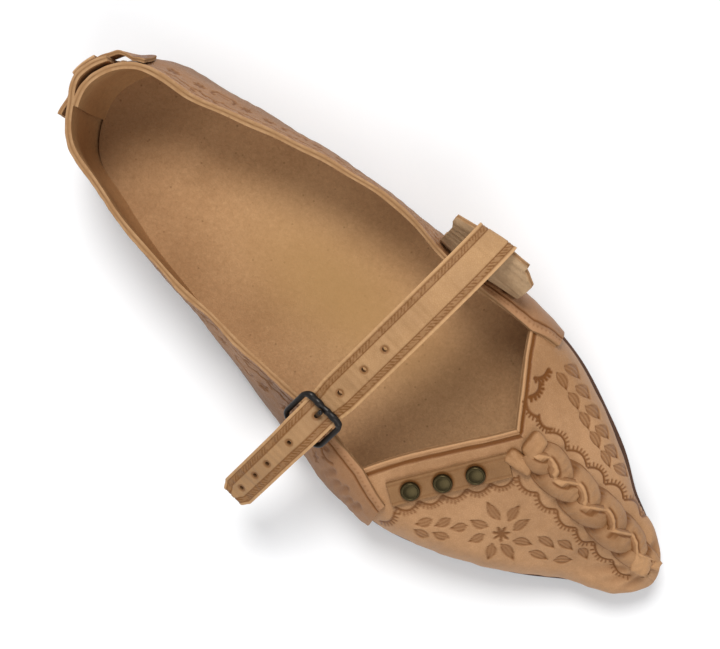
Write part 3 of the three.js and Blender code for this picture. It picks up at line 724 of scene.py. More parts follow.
def waver(x, y, pitch):
    """Slow unevenness between about -1 and 1, the same in every run."""
    total = 0 * x
    for _ in range(5):
        turn, phase = rng.uniform(0, 2 * np.pi, 2)
        wave = 2 * np.pi / (pitch * rng.uniform(0.7, 1.6))
        total = total + np.sin((x * np.cos(turn) + y * np.sin(turn)) * wave + phase)
    return total / 2.5


def board(x, y):
    return {"x": x, "y": y, "depth": np.zeros_like(x), "tooled": np.zeros_like(x)}


def near(b, points, reach):
    low = np.min(points, axis=0) - reach
    high = np.max(points, axis=0) + reach
    return np.flatnonzero((b["x"] > low[0]) & (b["x"] < high[0]) & (b["y"] > low[1]) & (b["y"] < high[1]))


def press(b, at, share, depth, dark):
    b["depth"][at] = np.maximum(b["depth"][at], depth * share)
    b["tooled"][at] = np.maximum(b["tooled"][at], dark * share)


def off_line(x, y, points):
    """How far points lie from a line through several places, and how far along it they are."""
    best = np.full(np.shape(x), 1e9)
    along = np.zeros(np.shape(x))
    run = 0.0
    for (x0, y0), (x1, y1) in zip(points, points[1:]):
        length = max(math.hypot(x1 - x0, y1 - y0), 1e-6)
        share = np.clip(((x - x0) * (x1 - x0) + (y - y0) * (y1 - y0)) / length**2, 0, 1)
        off = np.hypot(x - x0 - share * (x1 - x0), y - y0 - share * (y1 - y0))
        along = np.where(off < best, run + share * length, along)
        best = np.minimum(best, off)
        run += length
    return best, along


print("off a line of 10 mm:", off_line(np.array(4.0), np.array(3.0), [(0, 0), (10, 0)]))

# %% Strokes and folds
def stroke(b, points, width, depth, dark, soft=0.3):
    at = near(b, points, width / 2 + soft)
    off, _ = off_line(b["x"][at], b["y"][at], points)
    press(b, at, smooth((width / 2 + soft - off) / (2 * soft)), depth, dark)


def trough(b, points, width, depth, dark=0.0):
    """A soft fold: it is deepest on its line, and shallower towards its far end."""
    at = near(b, points, width)
    off, along = off_line(b["x"][at], b["y"][at], points)
    whole = off_line(*points[-1], points)[1]
    share = (0.5 + 0.5 * np.cos(np.pi * np.clip(off / width, 0, 1))) * (1 - 0.85 * smooth(along / whole))
    b["depth"][at] += depth * share
    # The dark share is painted shade in the fold.
    b["tooled"][at] = np.maximum(b["tooled"][at], dark * share)


print("line stamps: stroke, trough")

# %% Scallops, leaves and stars
def scallop(b, first, last, sag, ticks=8, tick=1.6, dark=0.95, line=0.8):
    """An arch between two places, with short ticks that spread from it like lashes."""
    first, last = np.array(first), np.array(last)
    chord = last - first
    side = np.array((-chord[1], chord[0])) / np.linalg.norm(chord)
    centre = (first + last) / 2 - side * sag * 1.4

    def on_arch(t):
        return first + chord * t + side * sag * 4 * t * (1 - t)

    stroke(b, [on_arch(t) for t in np.linspace(0, 1, 9)], line, 0.4, dark)
    for t in (np.arange(ticks) + 0.5) / ticks:
        foot = on_arch(t)
        out = (foot - centre) / np.linalg.norm(foot - centre)
        stroke(b, [foot, foot + out * tick * rng.uniform(0.8, 1.1)], line * 0.72, 0.34, dark)


def leaf(b, base, tip, width, bend=0.0, dark=1.0):
    """A leaf stamp: pressed deepest at its rim and tip, with paler veins along it."""
    base, tip = np.array(base), np.array(tip)
    length = np.linalg.norm(tip - base)
    axis = (tip - base) / length
    at = near(b, [base, tip], width)
    dx, dy = b["x"][at] - base[0], b["y"][at] - base[1]
    t = (dx * axis[0] + dy * axis[1]) / length
    off = dy * axis[0] - dx * axis[1] - bend * np.sin(np.pi * np.clip(t, 0, 1))
    half = width / 2 * np.sin(np.pi * np.clip(t, 0, 1) ** 0.8) ** 1.3
    inside = smooth((half - np.abs(off)) / 0.4) * ((t > 0) & (t < 1))
    rim = 1 - smooth((half - np.abs(off)) / 0.75)
    veins = 0.5 + 0.5 * np.cos(2 * np.pi * off / 1.15)
    body = 0.36 + 0.44 * rim + 0.4 * smooth((t - 0.6) / 0.4) + 0.3 * veins
    press(b, at, inside * np.minimum(body, 1), 0.5, dark)


def star(b, centre, radius, points, dark=0.85):
    at = near(b, [centre, centre], radius + 0.5)
    dx, dy = b["x"][at] - centre[0], b["y"][at] - centre[1]
    rim = radius * (0.42 + 0.58 * np.abs(np.cos(points / 2 * np.arctan2(dy, dx))) ** 2)
    press(b, at, smooth((rim - np.hypot(dx, dy) + 0.2) / 0.5), 0.4, dark)


print("shape stamps: scallop, leaf, star")

# %% [markdown]
# The vamp is one piece of leather folded over the toe and laced along its ridge. It is made as two halves
# that meet under the braid, so that each can hold a fine enough grid for the tooling. The places of the
# stamps are given along the toe seam and along the two arms of the throat.

# %% Seam and arms
def plan(u, v):
    return last_point(np.array(float(u)), np.array(float(v)))[:2]


apex = ridge(np.array(1.0))
nose = ridge(np.array(0.0))
seam_length = float(np.linalg.norm((nose - apex)[:2]))
seam = (nose - apex)[:2] / seam_length
lateral_corner = plan(throat, 1)
medial_corner = plan(stations - throat, 1)
lateral_arm = unit(apex[:2] - lateral_corner)
medial_arm = unit(apex[:2] - medial_corner)


def on_seam(along, aside):
    return apex[:2] + seam * along + np.array((-seam[1], seam[0])) * aside


def on_lateral_arm(along, inset):
    return lateral_corner + lateral_arm * along + np.array((lateral_arm[1], -lateral_arm[0])) * inset


def on_medial_arm(along, inset):
    return medial_corner + medial_arm * along + np.array((-medial_arm[1], medial_arm[0])) * inset


lateral_edge = [plan(throat, v) for v in np.linspace(1, 2, 13)]
medial_edge = [plan(stations - throat, v) for v in np.linspace(1, 2, 13)]
print("seam", round(seam_length, 1), "mm long")

# %% [markdown]
# The lateral half carries a flower of eight petals with leaves to both sides. Scallops follow the arm of
# the throat and the braid. The petals are given by angles and distances from the flower's centre.

# %% Places of the flower and the leaves
flower = np.array((76.8, -23.7))
# base angle, tip angle in degrees, base and tip distance from the flower's centre
petals = [
    (133, 153, 5.1, 14.0),
    (104, 100, 5.0, 12.9),
    (56, 70, 4.1, 11.6),
    (5, 18, 4.6, 12.2),
    (-54, -26, 3.4, 12.0),
    (-93, -74, 4.5, 11.6),
    (-141, -125, 5.6, 12.1),
    (-173, -167, 5.2, 12.6),
]
# leaves beside the flower: base, tip
lateral_leaves = [
    ((65.8, -28.4), (61.5, -33.7)),
    ((59.7, -30.1), (56.9, -36.4)),
    ((55.2, -34.3), (51.4, -40.4)),
    ((58.6, -40.3), (52.3, -41.6)),
    ((64.3, -36.1), (57.7, -38.3)),
    ((86.7, -16.3), (95.2, -16.4)),
    ((93.1, -13.1), (100.5, -12.9)),
    ((88.5, -22.9), (96.6, -21.1)),
    ((97.7, -20.3), (103.4, -15.5)),
    ((101.0, -10.9), (107.1, -12.7)),
]


def polar(degrees, distance):
    angle = math.radians(degrees)
    return flower + distance * np.array((math.cos(angle), math.sin(angle)))


print(len(petals), "petals and", len(lateral_leaves), "leaves")

# %% Stamps of the lateral half
def stamp_lateral(b):
    star(b, flower, 3.2, 7)
    for base_angle, tip_angle, near_end, far_end in petals:
        leaf(b, polar(base_angle, near_end), polar(tip_angle, far_end), 3.9, bend=0.5)
    for base, tip in lateral_leaves:
        leaf(b, base, tip, 3.8, bend=0.5)
    for n in range(5):
        along = 6.7 + 8.35 * n
        scallop(b, on_lateral_arm(along, 16), on_lateral_arm(along + 8, 16), -2.2)
    scallop(b, on_lateral_arm(-0.5, 20.7), on_lateral_arm(5.8, 17.7), -1.6)
    for n in range(6):
        along = 12.9 + 9.3 * n
        scallop(b, on_seam(along, -9.9 + 0.9 * n), on_seam(along + 8.6, -9.0 + 0.9 * n), -2.0, tick=1.4)
    # Soft puckers beside the braid and a hollow at the nose, each painted a little dark as shade.
    for along in (13, 30, 48):
        trough(b, [on_seam(along, -4), on_seam(along + 1.5, -13)], 4.2, 1.0, dark=0.1)
    trough(b, [on_seam(60, -7.5), on_seam(66, -8.5), on_seam(71, -8)], 3.0, 0.9, dark=0.12)


print("arm of the lateral half:", round(float(np.linalg.norm(apex[:2] - lateral_corner)), 1), "mm")

# %% Stamps of the medial half
# first leaf's base and tip (along, aside), step to the next leaf (along, aside), number, width
medial_rows = [
    ((-5.2, 26), (3.1, 27.0), (7.7, -1.9), 6, 4.3),
    ((-5.4, 22.5), (2.6, 20.8), (7.8, -1.5), 5, 3.8),
]


def stamp_medial(b):
    for (base_along, base_aside), (tip_along, tip_aside), (on, aside), count, width in medial_rows:
        for n in range(count):
            base = on_seam(base_along + on * n, base_aside + aside * n)
            leaf(b, base, on_seam(tip_along + on * n, tip_aside + aside * n), width, bend=0.8)
    for n in range(6):
        along = 8.1 + 9.4 * n
        scallop(b, on_seam(along, 7.4 + 1.05 * n), on_seam(along + 8.6, 8.45 + 1.05 * n), 2.0, tick=1.4)
    for first, last in (((15.5, 3.9), (12.3, 8.3)), ((21.8, 2.8), (16.9, 6.0))):
        scallop(b, on_medial_arm(*first), on_medial_arm(*last), -1.2, ticks=6, tick=1.3, dark=1.0, line=1.5)
    for first, last in (((23, 1.8), (28.1, 7.0)), ((27.5, 7), (31.7, 12.1))):
        scallop(b, on_medial_arm(*first), on_medial_arm(*last), -1.4, ticks=7, tick=1.4, line=1.0)
    # Soft puckers beside the braid and a fold at the nose, each painted a little dark as shade.
    for along in (17, 35, 53):
        trough(b, [on_seam(along, 4), on_seam(along + 1.5, 13)], 4.2, 1.0, dark=0.1)
    trough(b, [on_seam(66, 8.5), on_seam(70, 6)], 3.0, 0.8, dark=0.12)


print("arm of the medial half:", round(float(np.linalg.norm(apex[:2] - medial_corner)), 1), "mm")

# %% [markdown]
# The two halves run from the toe to the throat and from the sole up to the seam. A dark line follows each arm
# of the throat, and soft folds, painted dark as shade, gather the leather where the braid ends at the nose.

# %% The two halves of the vamp
# along and aside of the seam: where a fold starts at the braid, and where it ends
nose_folds = [
    ((64, -5), (56, -14)), ((68, -4.5), (63, -14)), ((71, -3), (70, -11)), ((68.5, 6.8), (62, 14)),
]
vamp_grid = (262, 168)


def vamp_work(stamps, edge, line_at, line_half, line_end):
    def work(i, j, p):
        b = board(p[:, 0], p[:, 1])
        stamps(b)
        # The folds at the nose are painted dark as the shade in them.
        for first, last in nose_folds:
            trough(b, [on_seam(*first), on_seam(*last)], 2.6, 0.8, dark=0.5)
        inset, along = off_line(b["x"], b["y"], edge)
        drawn = smooth((line_end + 0.6 - along) / 1.2)
        press(b, slice(None), bump(inset, line_at, line_half) * drawn, 0.4, 1.0)
        press(b, slice(None), bump(inset, 1.05, 0.12, 0.2), 0.12, 0.35)
        low = 1 - smooth((p[:, 2] - 6) / 5)
        rubbed = 0.55 * smooth((1.0 - inset) / 0.8)
        b["depth"] += 0.2 * waver(b["x"], b["y"], 16) + 0.08 * waver(b["x"], b["y"], 5)
        return {"depth": b["depth"], "tooled": b["tooled"], "rubbed": rubbed, "aged": 0.5 * low}

    return work


def vamp_lay(medial):
    def lay(i, j):
        v = np.interp(j, [0, 0.16, 0.4, 1], [0, 0.5, 1, 2])
        u = stations - mix(0.0, throat, i) if medial else mix(throat, 0.0, i)
        return last_point(u, v)

    return lay


def lateral_join(i, j):
    return i > 0.999 or j > 0.999


def medial_join(i, j):
    return i < 0.001 or j > 0.999


vamp_finishes = (tan, flesh, cut_edge)
sheet("vamp_lateral", vamp_grid, vamp_lay(False), vamp_work(stamp_lateral, lateral_edge, 2.5, 0.75, 56),
      leather, vamp_finishes, "upper", joined=lateral_join)
sheet("vamp_medial", vamp_grid, vamp_lay(True), vamp_work(stamp_medial, medial_edge[::-1], 1.75, 0.65, 99),
      leather, vamp_finishes, "upper", joined=medial_join)

# %% [markdown]
# Each quarter is a wall from the tab on the vamp to the heel. The lateral one passes outside the medial
# one at the back and stands a little open there. Both are skived, that is thinned, towards the sole and
# the tab.

# %% Shape of the quarters
lateral_tab = {"foot": 6.45, "tip": 6.2, "bow": 0.16, "dip": 0.08}
medial_tab = {"foot": 6.08, "tip": 5.96, "bow": 0.14, "dip": 0.14}
wing_ramp = (12.3, 13.2)
wing_end = 14.55
underlap_end = 13.55
wing_flare = 1.9
bond = 0.3
quarter_grid = (340, 84)


def wing_lift(u):
    return (leather - 2 * bond) * smooth((u - wing_ramp[0]) / (wing_ramp[1] - wing_ramp[0]))


def wing_open(u, v):
    return wing_flare * smooth((u - underlap_end) / 0.5) * smooth((v - 0.55) / 0.45)


def lateral_level(u, v):
    return leather + np.where(u <= wing_end, wing_lift(u) + wing_open(u, v), 0)


def quarter_places(tab, end, medial):
    def places(i, j):
        j = np.interp(j, [0, 0.25, 0.5, 1], [0, 0.4, 0.7, 1])
        front = mix(tab["foot"], tab["tip"], j) - tab["bow"] * np.sin(np.pi * j)
        u = mix(stations - front, end, i) if medial else mix(end, front, i)
        from_toe = np.minimum(u, stations - u)
        top = 1 - tab["dip"] * np.clip((throat - from_toe) / (throat - tab["tip"]), 0, 1)
        return u, j * top, top

    return places


def collar_run(u, medial):
    """Millimetres along the collar, counted from the throat's corner towards the heel."""
    walk = np.linspace(5.5, 16.5, 600)
    line = last_point(stations - walk if medial else walk, np.ones(600))
    run = np.concatenate([[0], np.cumsum(np.linalg.norm(np.diff(line, axis=0), axis=1))])
    run -= np.interp(throat, walk, run)
    return np.interp(stations - u if medial else u, walk, run)


print("collar from throat to heel:", [round(float(collar_run(heel_station, m)), 1) for m in (False, True)])

# %% [markdown]
# A running vine is tooled under the collar, with a round berry at each bend. Below it a small cup stands
# under every third berry and a star under the others. Places are given by the run along the collar from the
# throat and the drop below it.

# %% Vine
vine_pitch = 9.2
vine_drop = 5.6
vine_curl = [
    (-4.6, 1.2), (-3.4, 2.2), (-2.2, 3.0), (-0.6, 3.1), (0.6, 2.2), (1.9, 1.9), (3.2, 2.6), (4.4, 2.2),
]
vine_cup = [(-4.2, 8.2), (-4.4, 10.4), (-3.2, 11.8), (3.2, 11.8), (4.4, 10.4), (4.2, 8.2), (3.1, 8.0)]


def vine(b, first, last, pitch, dark):
    count = int((last - first) / pitch)
    for n in range(count):
        run = first + pitch * n + rng.uniform(-0.3, 0.3)
        drop = vine_drop + rng.uniform(-0.25, 0.25)
        stroke(b, [(run - 0.35, drop - 0.2), (run + 0.3, drop + 0.35)], 1.9, 0.34, dark * 0.8)
        stroke(b, [(run + x * pitch / vine_pitch, drop + y) for x, y in vine_curl], 0.85, 0.4, dark)
        stroke(b, [(run - 2.2, drop + 3.0), (run - 1.6, drop + 4.3)], 0.8, 0.35, dark * 0.8)
        if n % 3 == 1:
            stroke(b, [(run + x, drop + y) for x, y in vine_cup], 0.9, 0.4, dark)
            stroke(b, [(run - 2, drop + 9.6), (run + 2, drop + 9.6)], 0.6, 0.25, dark * 0.7)
        else:
            star(b, (run + 0.6 * pitch / vine_pitch, drop + 9.0), 2.6, 6, dark * 0.8)


print("the vine turns every", vine_pitch, "mm,", vine_drop, "mm below the collar")

# %% Quarters
def quarter_work(places, medial, pitch, dark, marks):
    def work(i, j, p):
        u, v, top = places(i, j)
        run = collar_run(u, medial)
        drop = np.linalg.norm(last_point(u, top) - p, axis=1)
        b = board(run, drop)
        heel_run = collar_run(np.array(heel_station), medial)
        vine(b, 12, heel_run - 8, pitch, dark)
        marks(b)
        press(b, slice(None), bump(drop, 3.1, 0.34), 0.35, 0.95)
        dashes = (0.5 + 0.5 * np.cos(2 * np.pi * run / 1.7)) ** 3
        press(b, slice(None), bump(drop, 1.6, 0.3) * dashes, 0.16, 0.5)
        b["depth"] += 0.3 * waver(run, drop, 20) + 0.08 * waver(run, drop, 5)
        level = leather if medial else lateral_level(u, v)
        front = 1 - i if not medial else i
        skived = smooth(front / 0.05) + smooth(v / 0.45)
        level = level * mix(0.25, 1.0, np.clip(skived, 0, 1))
        wave = 0.3 * waver(run, 0 * run, 26) * smooth((14 - drop) / 14)
        rubbed = 0.5 * smooth((2.4 - drop) / 1.2)
        aged = 0.6 * smooth((drop - 14) / 14) + 0.15 * waver(run, drop, 30)
        return {
            "level": level + wave, "depth": b["depth"], "tooled": b["tooled"], "rubbed": rubbed, "aged": aged,
        }

    return work


def lateral_marks(b):
    for n in range(5):
        run = -9 + 3.4 * n
        # Five creases near the front of the quarter, painted dark as shade in them.
        trough(b, [(run, 9 + 2 * (n % 2)), (run + 2.5, 16), (run + 1, 24)], 2.2, 1.0, dark=0.45)


def medial_marks(b):
    for shift in (0, 1.6):
        stroke(b, [(8.5 + shift, 6.5), (10.0 + shift, 10.5)], 0.8, 0.6, 0.95)
    for n in range(4):
        stroke(b, [(28 + 2.2 * n, 4), (29.5 + 2.2 * n, 11)], 1.0, 0.3, 0.6)


def quarter_lay(places):
    def lay(i, j):
        u, v, _ = places(i, j)
        return last_point(u, v)

    return lay


quarter_finishes = (quarter_tan_shaded, inside_suede_shaded, cut_edge)
lateral_places = quarter_places(lateral_tab, wing_end, False)
medial_places = quarter_places(medial_tab, underlap_end, True)
sheet("quarter_lateral", quarter_grid, quarter_lay(lateral_places),
      quarter_work(lateral_places, False, 10.5, 0.7, lateral_marks), leather, quarter_finishes, "upper")
sheet("quarter_medial", quarter_grid, quarter_lay(medial_places),
      quarter_work(medial_places, True, vine_pitch, 0.85, medial_marks), leather, quarter_finishes, "upper")

# %% [markdown]
# The band, the rivets and the braid lie on the vamp. A plumb line down to the vamp gives the height under
# any place of the plan, so a ray is cast once for each millimetre, and the heights between are blended.

# %% Heights of the vamp
def sample(table, a, b):
    """A table of points, read between its rows and columns."""
    a = np.clip(a, 0, table.shape[0] - 1.001)
    b = np.clip(b, 0, table.shape[1] - 1.001)
    i, j = a.astype(int), b.astype(int)
    s, t = (a - i), (b - j)
    if table.ndim > 2:
        s, t = s[..., None], t[..., None]
    return mix(mix(table[i, j], table[i + 1, j], s), mix(table[i, j + 1], table[i + 1, j + 1], s), t)


bm = bmesh.new()
bmesh.ops.create_grid(bm, x_segments=140, y_segments=60, size=0.5)
for v in bm.verts:
    from_toe = mix(-throat, throat, v.co.x + 0.5)
    v.co = last_point(np.array(from_toe % stations), np.array(2 * (v.co.y + 0.5)))
tree = BVHTree.FromBMesh(bm)
bm.free()
plan_from, plan_to = (20, -56), (136, 50)
ray_from, floor_near = 90, 28
heights = np.zeros((plan_to[0] - plan_from[0] + 1, plan_to[1] - plan_from[1] + 1))
for a in range(heights.shape[0]):
    for b in range(heights.shape[1]):
        x, y = plan_from[0] + a, plan_from[1] + b
        hit = tree.ray_cast(Vector((x, y, ray_from)), Vector((0, 0, -1)))[0]
        hit = hit or tree.find_nearest(Vector((x, y, floor_near)))[0]
        heights[a, b] = hit.z


def on_vamp(xy):
    z = sample(heights, xy[..., 0] - plan_from[0], xy[..., 1] - plan_from[1])
    return np.concatenate([xy, z[..., None]], axis=-1)


print("highest of the vamp", round(heights.max(), 1), "mm")

# %% [markdown]
# A narrow band of yellower leather is riveted along the lateral arm of the throat. Two fine lines run along
# its edges, and the leather sinks a little round each rivet.

# %% Rivet band
band_width = 8.4
band_thickness = 1.6
band_inset = 10.6
band_start = 6
band_length = 42
rivet_diameter = 6.8
rivet_height = 1.7
rivet_places = (13.5, 24.9, 36.3)


def band_lay(i, j):
    along = band_start + i * band_length
    inset = band_inset + (0.5 - j) * band_width
    inwards = np.array((lateral_arm[1], -lateral_arm[0]))
    return on_vamp(lateral_corner + lateral_arm * along[:, None] + inwards * inset[:, None])


def band_work(i, j, p):
    b = board(band_start + i * band_length, (j - 0.5) * band_width)
    for side in (-1, 1):
        stroke(b, [(band_start, side * 3.1), (band_start + band_length, side * 3.1)], 0.5, 0.12, 0.35)
    ring = np.min([np.hypot(b["x"] - at, b["y"]) for at in rivet_places], axis=0)
    press(b, slice(None), smooth((rivet_diameter / 2 + 1.0 - ring) / 1.2), 0.25, 0.75)
    b["depth"] += 0.1 * waver(b["x"], b["y"], 6)
    return {"level": gap + band_thickness, "depth": b["depth"], "tooled": b["tooled"], "aged": 0.2}


sheet("band", (130, 28), band_lay, band_work, band_thickness, (band_tan, cut_edge, band_edge), "rivet_band",
      rounding=0.25)

# %% [markdown]
# The rivets are turned domes with a fine rim. Half a profile is spun once round its axis, and the first and
# last copies are merged, so that each rivet is one closed body.

# %% Rivets
rivet_steps = 48
# distance from the axis as a share of the diameter, height as a share of the rivet's
rivet_profile = [
    (0.0, 0.86), (0.14, 0.85), (0.27, 0.79), (0.35, 0.7), (0.385, 0.66), (0.4, 0.74), (0.43, 0.78),
    (0.468, 0.7), (0.492, 0.5), (0.5, 0.24), (0.5, 0.0), (0.17, 0.0), (0.17, -0.9), (0.0, -0.9),
]


def rivet(name, along):
    seat = on_vamp(np.array([on_lateral_arm(along, band_inset)]))[0]
    slope_x = on_vamp(np.array([on_lateral_arm(along + 1, band_inset)]))[0] - seat
    slope_y = on_vamp(np.array([on_lateral_arm(along, band_inset - 1)]))[0] - seat
    axis = Vector(unit(np.cross(slope_x, slope_y)))
    bm = bmesh.new()
    profile = [bm.verts.new((r * rivet_diameter, 0, h * rivet_height)) for r, h in rivet_profile]
    edges = [bm.edges.new(pair) for pair in zip(profile, profile[1:])]
    bmesh.ops.spin(bm, geom=profile + edges, axis=(0, 0, 1), cent=(0, 0, 0), steps=rivet_steps,
                   angle=2 * math.pi, use_merge=True)
    bmesh.ops.remove_doubles(bm, verts=bm.verts, dist=0.001)
    bmesh.ops.recalc_face_normals(bm, faces=bm.faces)
    turn = axis.to_track_quat("Z", "Y").to_matrix().to_4x4()
    base = Vector(seat) + axis * (gap + band_thickness + gap)
    seated = Matrix.Scale(to_metres, 4) @ Matrix.Translation(base) @ turn
    bmesh.ops.transform(bm, verts=bm.verts, matrix=seated)
    mesh = mesh_of(bm, name)
    mesh.shade_smooth()
    return link(name + "_dome", mesh, [brass], name)


for n, along in enumerate(rivet_places):
    rivet(f"rivet_{n + 1}", along)
print("rivets", rivet_diameter, "mm wide at", rivet_places)

# %% [markdown]
# The braid is a true plait of three strips. Each strip swings from side to side as a sine wave and rises
# and sinks twice as fast, so it passes over the middle each time it comes in from an edge. The three strips
# share one path and start a third of its pitch apart.

# %% Path of the plait
braid_pitch = 41
braid_swing = 3.9
braid_over = 1.15
braid_low = 1.5
strip_thickness = 1.5
strip_count = 3
braid_from, braid_to = 7.5, 69.5
crossing_at = 24
# along the seam: along, the plait's middle aside, half a strip's width, share of the swing
braid_rows = np.array([
    (7.5, -0.9, 2.8, 0.5), (13, -0.2, 3.5, 0.9), (24, 0.8, 3.6, 1), (36, 1.5, 3.6, 1), (48, 2.4, 3.5, 1),
    (58, 2.6, 3.2, 0.85), (64, 2.8, 2.8, 0.6), (69.5, 3.8, 2.1, 0.3),
])


def plait(i, start):
    """Where a strip's middle is: along, aside, its phase, half width, share of the swing and the middle."""
    along = mix(braid_from, braid_to, i)
    middle, half, share = (np.interp(along, braid_rows[:, 0], braid_rows[:, k]) for k in (1, 2, 3))
    phase = 2 * np.pi * ((along - crossing_at) / braid_pitch + start) - np.pi / 4
    return along, middle + braid_swing * share * np.sin(phase), phase, half, share, middle


def off_seam(along, aside):
    xy = apex[:2] + seam * along[:, None] + np.array((-seam[1], seam[0])) * aside[:, None]
    return on_vamp(xy)


def plait_spot(i, j, start):
    along, aside, phase, half, share, middle = plait(i, start)
    slope = braid_swing * share * 2 * np.pi / braid_pitch * np.cos(phase)
    across = (2 * j - 1) * half / np.hypot(1, slope)
    return along - slope * across, aside + across, middle


print("a plait of", strip_count, "strips, one turn in", braid_pitch, "mm")

# %% Strips of the plait
def strip_lay(start):
    def lay(i, j):
        along, aside, _ = plait_spot(i, j, start)
        return off_seam(along, aside)

    return lay


def strip_work(start):
    def work(i, j, p):
        along, aside, phase, half, share, _ = plait(i, start)
        x, y, middle = plait_spot(i, j, start)
        over = 1 - np.sin(2 * phase)
        w = 2 * j - 1
        wrap = 0.055 * np.clip(np.abs(y - middle) - 1.8, 0, None) ** 2
        top = braid_low + braid_over * share * over - w**2 - wrap
        heel_side = np.sign(np.cos(phase)) * w * half
        crossing = smooth((np.abs(np.cos(phase)) - 0.12) / 0.25)
        # The crease is pressed in, and painted dark as the shade in the strip's fold.
        shaded_crease = bump(heel_side, 0.36 * half, 0.3, 0.3) * crossing
        line = bump(heel_side, 0.8 * half, 0.14, 0.2) * crossing
        # Painted shade where the strip dips under its neighbours.
        shade_under_crossing = 0.8 * smooth((0.95 - over) / 0.7)
        rim = 0.75 * smooth((np.abs(w) - 0.8) / 0.14)
        wrinkles = 0.1 * waver(x, y * 0.4, 2.2) + 0.12 * waver(x, y, 6)
        ridge_top = 0.35 * bump(heel_side, 0.62 * half, 0.5, 0.4) * crossing
        # The crest of each crossing is lightened as a painted highlight.
        return {"level": gap + np.clip(top + wrinkles + ridge_top, 0.4, None), "depth": 0.4 * shaded_crease,
                "tooled": np.maximum.reduce([0.95 * shaded_crease, 0.6 * line, shade_under_crossing, rim]),
                "rubbed": 0.55 * bump(heel_side, 0.62 * half, 0.35, 0.3) * crossing, "aged": 0.25}

    return work


for n in range(strip_count):
    sheet(f"braid_strip_{n + 1}", (250, 26), strip_lay(n / strip_count), strip_work(n / strip_count),
          strip_thickness, (braid_tan,) * 3, "braid", rounding=0.4)

# %% [markdown]
# Flat bands hold the plait at both ends. They are short sheets between four corners, domed and with softly
# rounded corners, so that they look pulled tight.

# %% Bands at the ends of the braid
# corners along and aside: start lateral, start medial, end lateral, end medial; height
end_bands = [
    ((5.0, -3.2), (3.4, 4.8), (11.8, -3.4), (9.9, 4.8), 3.0),
    ((3.9, -10.2), (3.2, -4.2), (15.0, -7.2), (12.2, -3.0), 2.4),
    ((63.8, -2.7), (59.4, 1.5), (70.8, -0.4), (66.6, 4.6), 3.2),
    ((68.6, 1.6), (67.2, 6.4), (72.2, 2.8), (71.4, 6.6), 2.2),
]
corner_pull = 0.16


def band_spot(i, j, corners):
    a, b = 2 * i - 1, 2 * j - 1
    i, j = (1 + a * (1 - corner_pull * b**4)) / 2, (1 + b * (1 - corner_pull * a**4)) / 2
    first, second, third, fourth = (np.array(c)[:, None] for c in corners)
    return mix(mix(first, second, j), mix(third, fourth, j), i)


def end_band(name, corners, height):
    def lay(i, j):
        return off_seam(*band_spot(i, j, corners))

    def work(i, j, p):
        edge = np.maximum(np.abs(2 * i - 1), np.abs(2 * j - 1))
        dome = np.sqrt(1 - 0.75 * edge**4)
        x, y = band_spot(i, j, corners)
        creases = 0.1 * waver(x, y, 2.6) + 0.12 * waver(x, y, 6)
        # The dome's middle is lightened as a painted highlight and its edge darkened as painted shade.
        return {"level": gap + height * dome + creases, "tooled": 0.5 * smooth((edge - 0.8) / 0.18),
                "rubbed": 0.25 * (1 - edge)}

    sheet(name, (36, 36), lay, work, strip_thickness, (braid_tan,) * 3, "braid", rounding=0.4)


for n, (*corners, height) in enumerate(end_bands):
    end_band(f"braid_band_{n + 1}", corners, height)

# %% [markdown]
# The strap is one long strip. Its wide root is glued to the medial quarter, rises, turns outwards at a
# crisp fold and runs back over the instep and through the buckle. All its places are measured from one line
# across the instep, by how far they are across it, aside of it and up.

# %% Sizes of the strap and the buckle
strap_along = 0.518
strap_yaw = math.radians(5.1)
strap_width, neck_width, tip_width = 14.2, 12.6, 12.2
strap_thickness = 2.2
root_width, wing_width, root_shift = 32, 28, 3.6
fold_reach, fold_rise, fold_radius, fold_slant = 14, 17.6, 2.9, 0.17
arch_rise = 26.2
tail_reach, tail_drop, tail_bevel = 35, 22, 4
hole_diameter, hole_pitch = 2.4, 10.5
hole_places = (-3.2, -2.25, -1.12, 0, 1.26, 2.48, 3.22, 4.12)
prong_knot = 12.62
buckle_width, buckle_depth, buckle_corner, buckle_bar = 16, 15, 2.7, 2.4
buckle_tilt = math.radians(36)
buckle_reach, buckle_rise = 7, 8.2
prong_diameter = 1.7
tab_width, tab_thickness = 9.6, 1.6
collar_station = 8.4
strap_origin = (strap_along - 0.5) * shoe_length
strap_half = strap_thickness / 2
bar_radius = buckle_bar / 2
print("strap line crosses the middle at", round(strap_origin, 1), "mm")

# %% Places along the strap's line
def on_line(across, aside, up):
    x = strap_origin + across * math.sin(strap_yaw) + aside * math.cos(strap_yaw)
    y = across * math.cos(strap_yaw) - aside * math.sin(strap_yaw)
    return np.stack(np.broadcast_arrays(x, y, up), axis=-1).astype(float)


def aside_of(p):
    return (p[..., 0] - strap_origin) * math.cos(strap_yaw) - p[..., 1] * math.sin(strap_yaw)


def across_of(p):
    return (p[..., 0] - strap_origin) * math.sin(strap_yaw) + p[..., 1] * math.cos(strap_yaw)


def off_quarter(medial, aside, v, lift):
    """Points off the outside of a quarter, so far aside of the strap's line."""
    low = np.full(aside.shape, stations - 6.2 if medial else 6.4)
    high = np.full(aside.shape, stations - 11.0 if medial else 11.0)
    v = np.full(aside.shape, v)
    for _ in range(30):
        middle = (low + high) / 2
        too_near = aside_of(last_point(middle, v)) > aside
        low, high = np.where(too_near, middle, low), np.where(too_near, high, middle)
    return last_point(middle, v) + last_normal(middle, v, 0.02) * (leather + lift)


print("the line's own place:", on_line(0, 0, 0).round(1))

